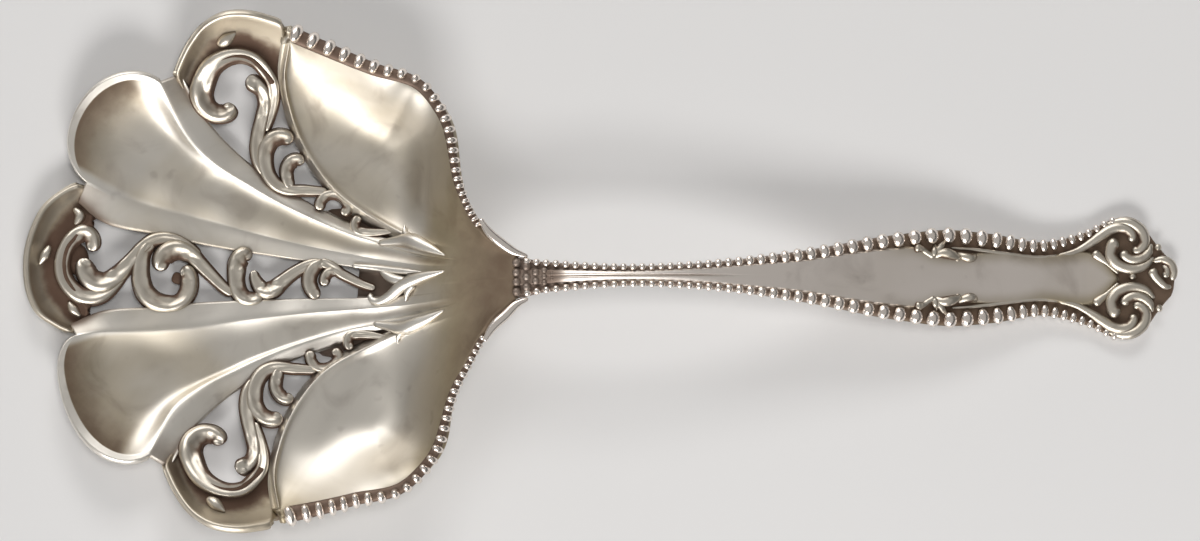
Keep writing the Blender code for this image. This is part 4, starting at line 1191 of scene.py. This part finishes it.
def handle_beads():
    """Drops along the left edge of the blade: each is as long across as BEAD_LENGTH says and stands on the
    sunk border, tilted with the edge and the arch."""
    x = np.linspace(*HANDLE_BEAD_RUN, BORDER_POINTS)
    size = smooth(HANDLE_BEAD, x)
    line = np.stack((x, half_width(x) - LINE_INSET * size, handle_top(x)), -1)
    at = np.interp(spaced(line, size, HANDLE_PITCH), np.linspace(0, 1, len(x)), x)
    r, stretch = smooth(HANDLE_BEAD, at), smooth(BEAD_LENGTH, at)
    edge, top = half_width(at), handle_top(at)
    along = unit(np.stack((np.ones_like(at), np.gradient(edge, at), np.gradient(top, at)), -1))
    up = unit(np.cross(np.cross(along, (0, 0, 1.0)), along))
    frames = np.stack((along, np.cross(up, along), up), 1)
    level = top - BORDER_SINK + DROP_SEAT * r + DROP_LIFT
    centers = np.stack((at, edge - r * stretch * DROP_INSET, level), -1)
    return beads(centers, frames, r[:, None] * np.stack((1 + 0 * r, stretch, DROP_HEIGHT + 0 * r), -1))


border_beads = handle_beads()
for name, side in SIDES:
    add_piece(f"{name}_border_beads", handle_to_row, for_side(border_beads, side), bead_finish,
              [f"{name}_handle_beading"])

# %% [markdown]
# ## Cluster at the neck
# Rows of beads crowd across the handle's root and hide the solder seam. They are worn and full of
# tarnish, so they are dark all over. A random scatter could look as worn, but a short list of rows keeps
# them inside the handle's outline. Each row below is its place along the handle, its count, its spacing
# and its radius.

# %% neck cluster
NECK_ROWS = ((0.3, 4, 1.0, 0.48), (1.35, 3, 1.05, 0.46), (2.3, 2, 0.9, 0.42), (3.2, 3, 0.62, 0.33),
             (4.0, 2, 0.5, 0.3))
CLUSTER_SINK, CLUSTER_DARK = 0.05, 0.8
centers, radii = [], []
for x, count, gap, r in NECK_ROWS:
    y = (np.arange(count) - (count - 1) / 2) * gap
    centers.append(np.stack((x + 0 * y, y, handle_top(x + 0 * y) - CLUSTER_SINK), -1))
    radii.append(np.full((count, 3), r))
centers, radii = np.concatenate(centers), np.concatenate(radii)
upright = np.broadcast_to(np.eye(3), (len(centers), 3, 3))
points, faces, recess, tone = beads(centers, upright, radii, dark=1.0)
cluster = (points, faces, np.maximum(recess, CLUSTER_DARK), tone)
add_piece("neck_cluster", handle_to_row, cluster, bead_finish, ["neck_collar"])

# %% [markdown]
# ## Volutes and sprigs
# At the panel's widest place a leafy sprig breaks each border. A thread runs on from it and curls over
# into a volute of several arms, and a small curl closes the tip. A chaser cuts these into the struck
# blank. A sculpted relief could follow each leaf, but bars with few points stay easy to move. They lie on
# the sunk border, drawn once for the left side and mirrored, with the tip's curl left single.

# %% terminal and sprigs
VOLUTE_ARMS = (
    (((57.0, 2.35), (59.0, 2.9), (60.5, 3.75), (61.6, 4.5), (62.6, 5.1), (63.6, 5.3), (64.4, 5.05),
      (64.85, 4.45), (64.75, 3.75)), (0.24, 0.34, 0.42, 0.54, 0.58, 0.58, 0.48)),
    (((62.2, 5.6), (63.3, 5.9), (64.4, 5.9), (65.4, 5.4), (66.05, 4.55), (66.1, 3.6), (65.5, 2.95),
      (64.8, 2.9)), (0.25, 0.42, 0.55, 0.58, 0.58, 0.54, 0.46)),
    (((66.85, 3.6), (66.6, 2.8), (66.0, 2.2), (65.3, 1.95), (64.6, 2.0), (64.05, 2.4), (63.9, 2.95)),
     (0.2, 0.46, 0.54, 0.56, 0.58, 0.64)),
    (((67.1, 2.2), (66.2, 1.3), (65.0, 0.95), (63.9, 1.1), (63.0, 1.65), (62.55, 2.5), (62.75, 3.4),
      (63.4, 3.95)), (0.2, 0.45, 0.55, 0.6, 0.62, 0.66, 0.78)),
    (((60.7, 2.8), (61.3, 2.3), (62.0, 1.75), (62.8, 1.05), (63.4, 0.5)), (0.58, 0.46, 0.32, 0.28, 0.2)),
    (((67.2, 3.35), (67.5, 3.2), (67.8, 2.9)), (0.3, 0.42, 0.3)),
)
END_VOLUTE = (
    (((66.85, 1.0), (67.1, 0.3), (67.6, -0.35), (68.3, -0.9), (68.9, -1.0)), (0.66, 0.52, 0.44, 0.4, 0.2)),
    (((67.0, 1.75), (68.0, 1.9), (68.85, 1.45), (69.15, 0.6), (68.95, -0.3)),
     (0.25, 0.42, 0.46, 0.44, 0.28)),
    (((68.0, 1.35), (68.4, 0.95), (68.4, 0.4), (67.95, 0.25)), (0.2, 0.36, 0.4, 0.42)),
    (((64.5, 0.35), (64.8, 0.2), (65.2, 0.0)), (0.3, 0.4, 0.2)),
)
SPRIG = (
    (((41.8, 3.1), (42.5, 2.95), (43.2, 2.5), (43.9, 2.1)), (0.6, 0.34, 0.3, 0.32)),
    (((43.8, 2.1), (43.9, 2.7), (44.0, 3.5)), (0.3, 0.36, 0.1)),
    (((43.9, 2.2), (44.4, 3.0), (45.1, 3.9)), (0.2, 0.38, 0.12)),
    (((43.9, 2.1), (44.6, 2.5), (45.5, 2.45), (46.3, 1.95), (46.0, 1.55)), (0.2, 0.46, 0.56, 0.42, 0.12)),
    (((46.3, 2.6), (47.1, 2.2), (47.9, 2.1), (48.5, 2.55)), (0.12, 0.42, 0.46, 0.08)),
)
THREAD = (((45.6, 3.15), (48.5, 2.95), (51, 2.62), (55.3, 2.2), (57.0, 2.35)), (0.1, 0.2, 0.24, 0.24, 0.22))
VOLUTE_RAISE, SPRIG_RAISE, THREAD_RAISE = 0.7, 1.1, 1.0


def border_level(x, y):
    """Height of the sunk border."""
    return handle_top(x) - BORDER_SINK


def carved(strokes, side, raised):
    """Bars laid on the handle's face."""
    return [bar(points, radii, border_level, raised, side, rows=TOP_ROWS * len(points))
            for points, radii in strokes]


terminal = carved(END_VOLUTE, 1, VOLUTE_RAISE)
sprigs = []
for _, side in SIDES:
    terminal += carved(VOLUTE_ARMS, side, VOLUTE_RAISE)
    sprigs += carved(SPRIG, side, SPRIG_RAISE) + carved((THREAD,), side, THREAD_RAISE)
add_piece("terminal_volutes", handle_to_row, merge(terminal), scroll_finish,
          ["terminal_scrolls"])
add_piece("handle_sprigs", handle_to_row, merge(sprigs), scroll_finish)

# %% [markdown]
# ## The table
# The spoon lies on a pale, matt table. A plane that reaches past every view is enough; its colour varies
# a little, because an even floor looks empty. It lies a hair below the spoon, so that the two never share
# a plane.

# %% table
TABLE_SPAN, TABLE_DROP, TABLE_ROUGH = 1.2, 1e-5, 0.6
TABLE_GREY, TABLE_PALE = (0.755, 0.747, 0.745, 1), (0.785, 0.777, 0.775, 1)
corners = [(x * TABLE_SPAN, y * TABLE_SPAN, -TABLE_DROP) for x, y in ((-1, -1), (1, -1), (1, 1), (-1, 1))]
table_mesh = bpy.data.meshes.new("table")
table_mesh.from_pydata(corners, [], [(0, 1, 2, 3)])
table = bpy.data.objects.new("table", table_mesh)
bpy.context.scene.collection.objects.link(table)
cloth = Nodes("pale_table")
shade = cloth.soft_step(cloth.noise(6, detail=1), 0.3, 0.7)
cloth.put(cloth.shader.inputs["Base Color"], cloth.mix(shade, TABLE_GREY, TABLE_PALE))
cloth.put(cloth.shader.inputs["Roughness"], TABLE_ROUGH)
table_mesh.materials.append(cloth.material)
print("table:", 2 * TABLE_SPAN, "m wide")

# %% [markdown]
# ## Light
# Silver shows its surroundings, while the table shows only how much light falls on it. A photographer
# sets pale cards for the first and softboxes for the second, and so does this cell. The softboxes,
# beyond, before and above the spoon, light the table and cast the shadows, but the metal doesn't mirror
# them. The cards stand at the same two sides and at the left, with a dim one for the ceiling, and only
# the metal sees them. One set of lamps for both would be too bright in the silver or too dark on the
# table.

# %% lamps and world
LAMPS = (
    ("far_softbox", (0.03, 0.5, 0.466), 0.3, 0.2, 1.25),
    ("near_softbox", (0.03, -0.5, 0.466), 0.3, 0.2, 2.4),
    ("top_softbox", (0.1, 0.0, 1.4), 0.3, 0.3, 5.4),
)
CARDS = (
    ("far_card", (-0.22, 0.62, 0.32), 0.6, 0.58, 2.6),
    ("near_card", (-0.22, -0.62, 0.32), 0.6, 0.58, 4.9),
    ("left_card", (-0.75, 0.0, 0.36), 1.2, 0.5, 0.45),
    ("ceiling_card", (0.0, 0.0, 1.5), 4.0, 4.0, 14.6),
)
LAMP_COLOR = (1.0, 0.99, 0.975)
WORLD_COLOR, WORLD_STRENGTH = (0.5, 0.495, 0.49, 1), 0.25


def area_lamp(name, place, width, height, power):
    """Rectangular lamp that faces the spoon."""
    lamp = bpy.data.lights.new(name, "AREA")
    lamp.shape, lamp.size, lamp.size_y, lamp.energy = "RECTANGLE", width, height, power
    lamp.color = LAMP_COLOR
    holder = bpy.data.objects.new(name, lamp)
    holder.location = place
    holder.rotation_euler = (-Vector(place)).to_track_quat("-Z", "Y").to_euler()
    bpy.context.scene.collection.objects.link(holder)
    return holder


for spec in LAMPS:
    area_lamp(*spec).visible_glossy = False
for spec in CARDS:
    area_lamp(*spec).visible_diffuse = False
world = bpy.data.worlds.new("studio")
world.use_nodes = True
background = world.node_tree.nodes["Background"]
background.inputs["Color"].default_value = WORLD_COLOR
background.inputs["Strength"].default_value = WORLD_STRENGTH
bpy.context.scene.world = world
print("lamps and cards:", len(LAMPS), len(CARDS))

# %% [markdown]
# ## Camera
# The photograph was taken almost straight down with a long lens. The spoon's length in pixels gives the
# scale, the pixel of the frame's origin gives the place, and the view leans and rolls by a few degrees.
# The lens could be guessed by eye, but at such a distance it hardly matters.

# %% camera
IMAGE_WIDTH, IMAGE_HEIGHT = 1200, 541
SPOON_PIXELS, SPOON_LENGTH = 1153, 120.65
ORIGIN_PIXEL = (598.6, 273.0)
LEAN, ROLL = math.radians(4.6), math.radians(0.6)
LENS, SENSOR = 200.0, 36.0
CLIP_NEAR, CLIP_FAR = 0.01, 10.0
MID_HEIGHT = 3.5
pixel = SPOON_LENGTH / SPOON_PIXELS * MM
distance = IMAGE_WIDTH * pixel * LENS / SENSOR
camera_data = bpy.data.cameras.new("camera")
camera_data.lens, camera_data.sensor_width = LENS, SENSOR
camera_data.clip_start, camera_data.clip_end = CLIP_NEAR, CLIP_FAR
camera = bpy.data.objects.new("camera", camera_data)
turn = Matrix.Rotation(-ROLL, 4, "Z") @ Matrix.Rotation(LEAN, 4, "X")
aim = turn @ Vector(((IMAGE_WIDTH / 2 - ORIGIN_PIXEL[0]) * pixel,
                     (ORIGIN_PIXEL[1] - IMAGE_HEIGHT / 2) * pixel, MID_HEIGHT * MM))
camera.matrix_world = Matrix.Translation(aim) @ turn @ Matrix.Translation((0, 0, distance))
bpy.context.scene.collection.objects.link(camera)
bpy.context.scene.camera = camera
bpy.context.scene.view_settings.view_transform = "Standard"
print("camera distance in mm:", round(distance / MM, 1))
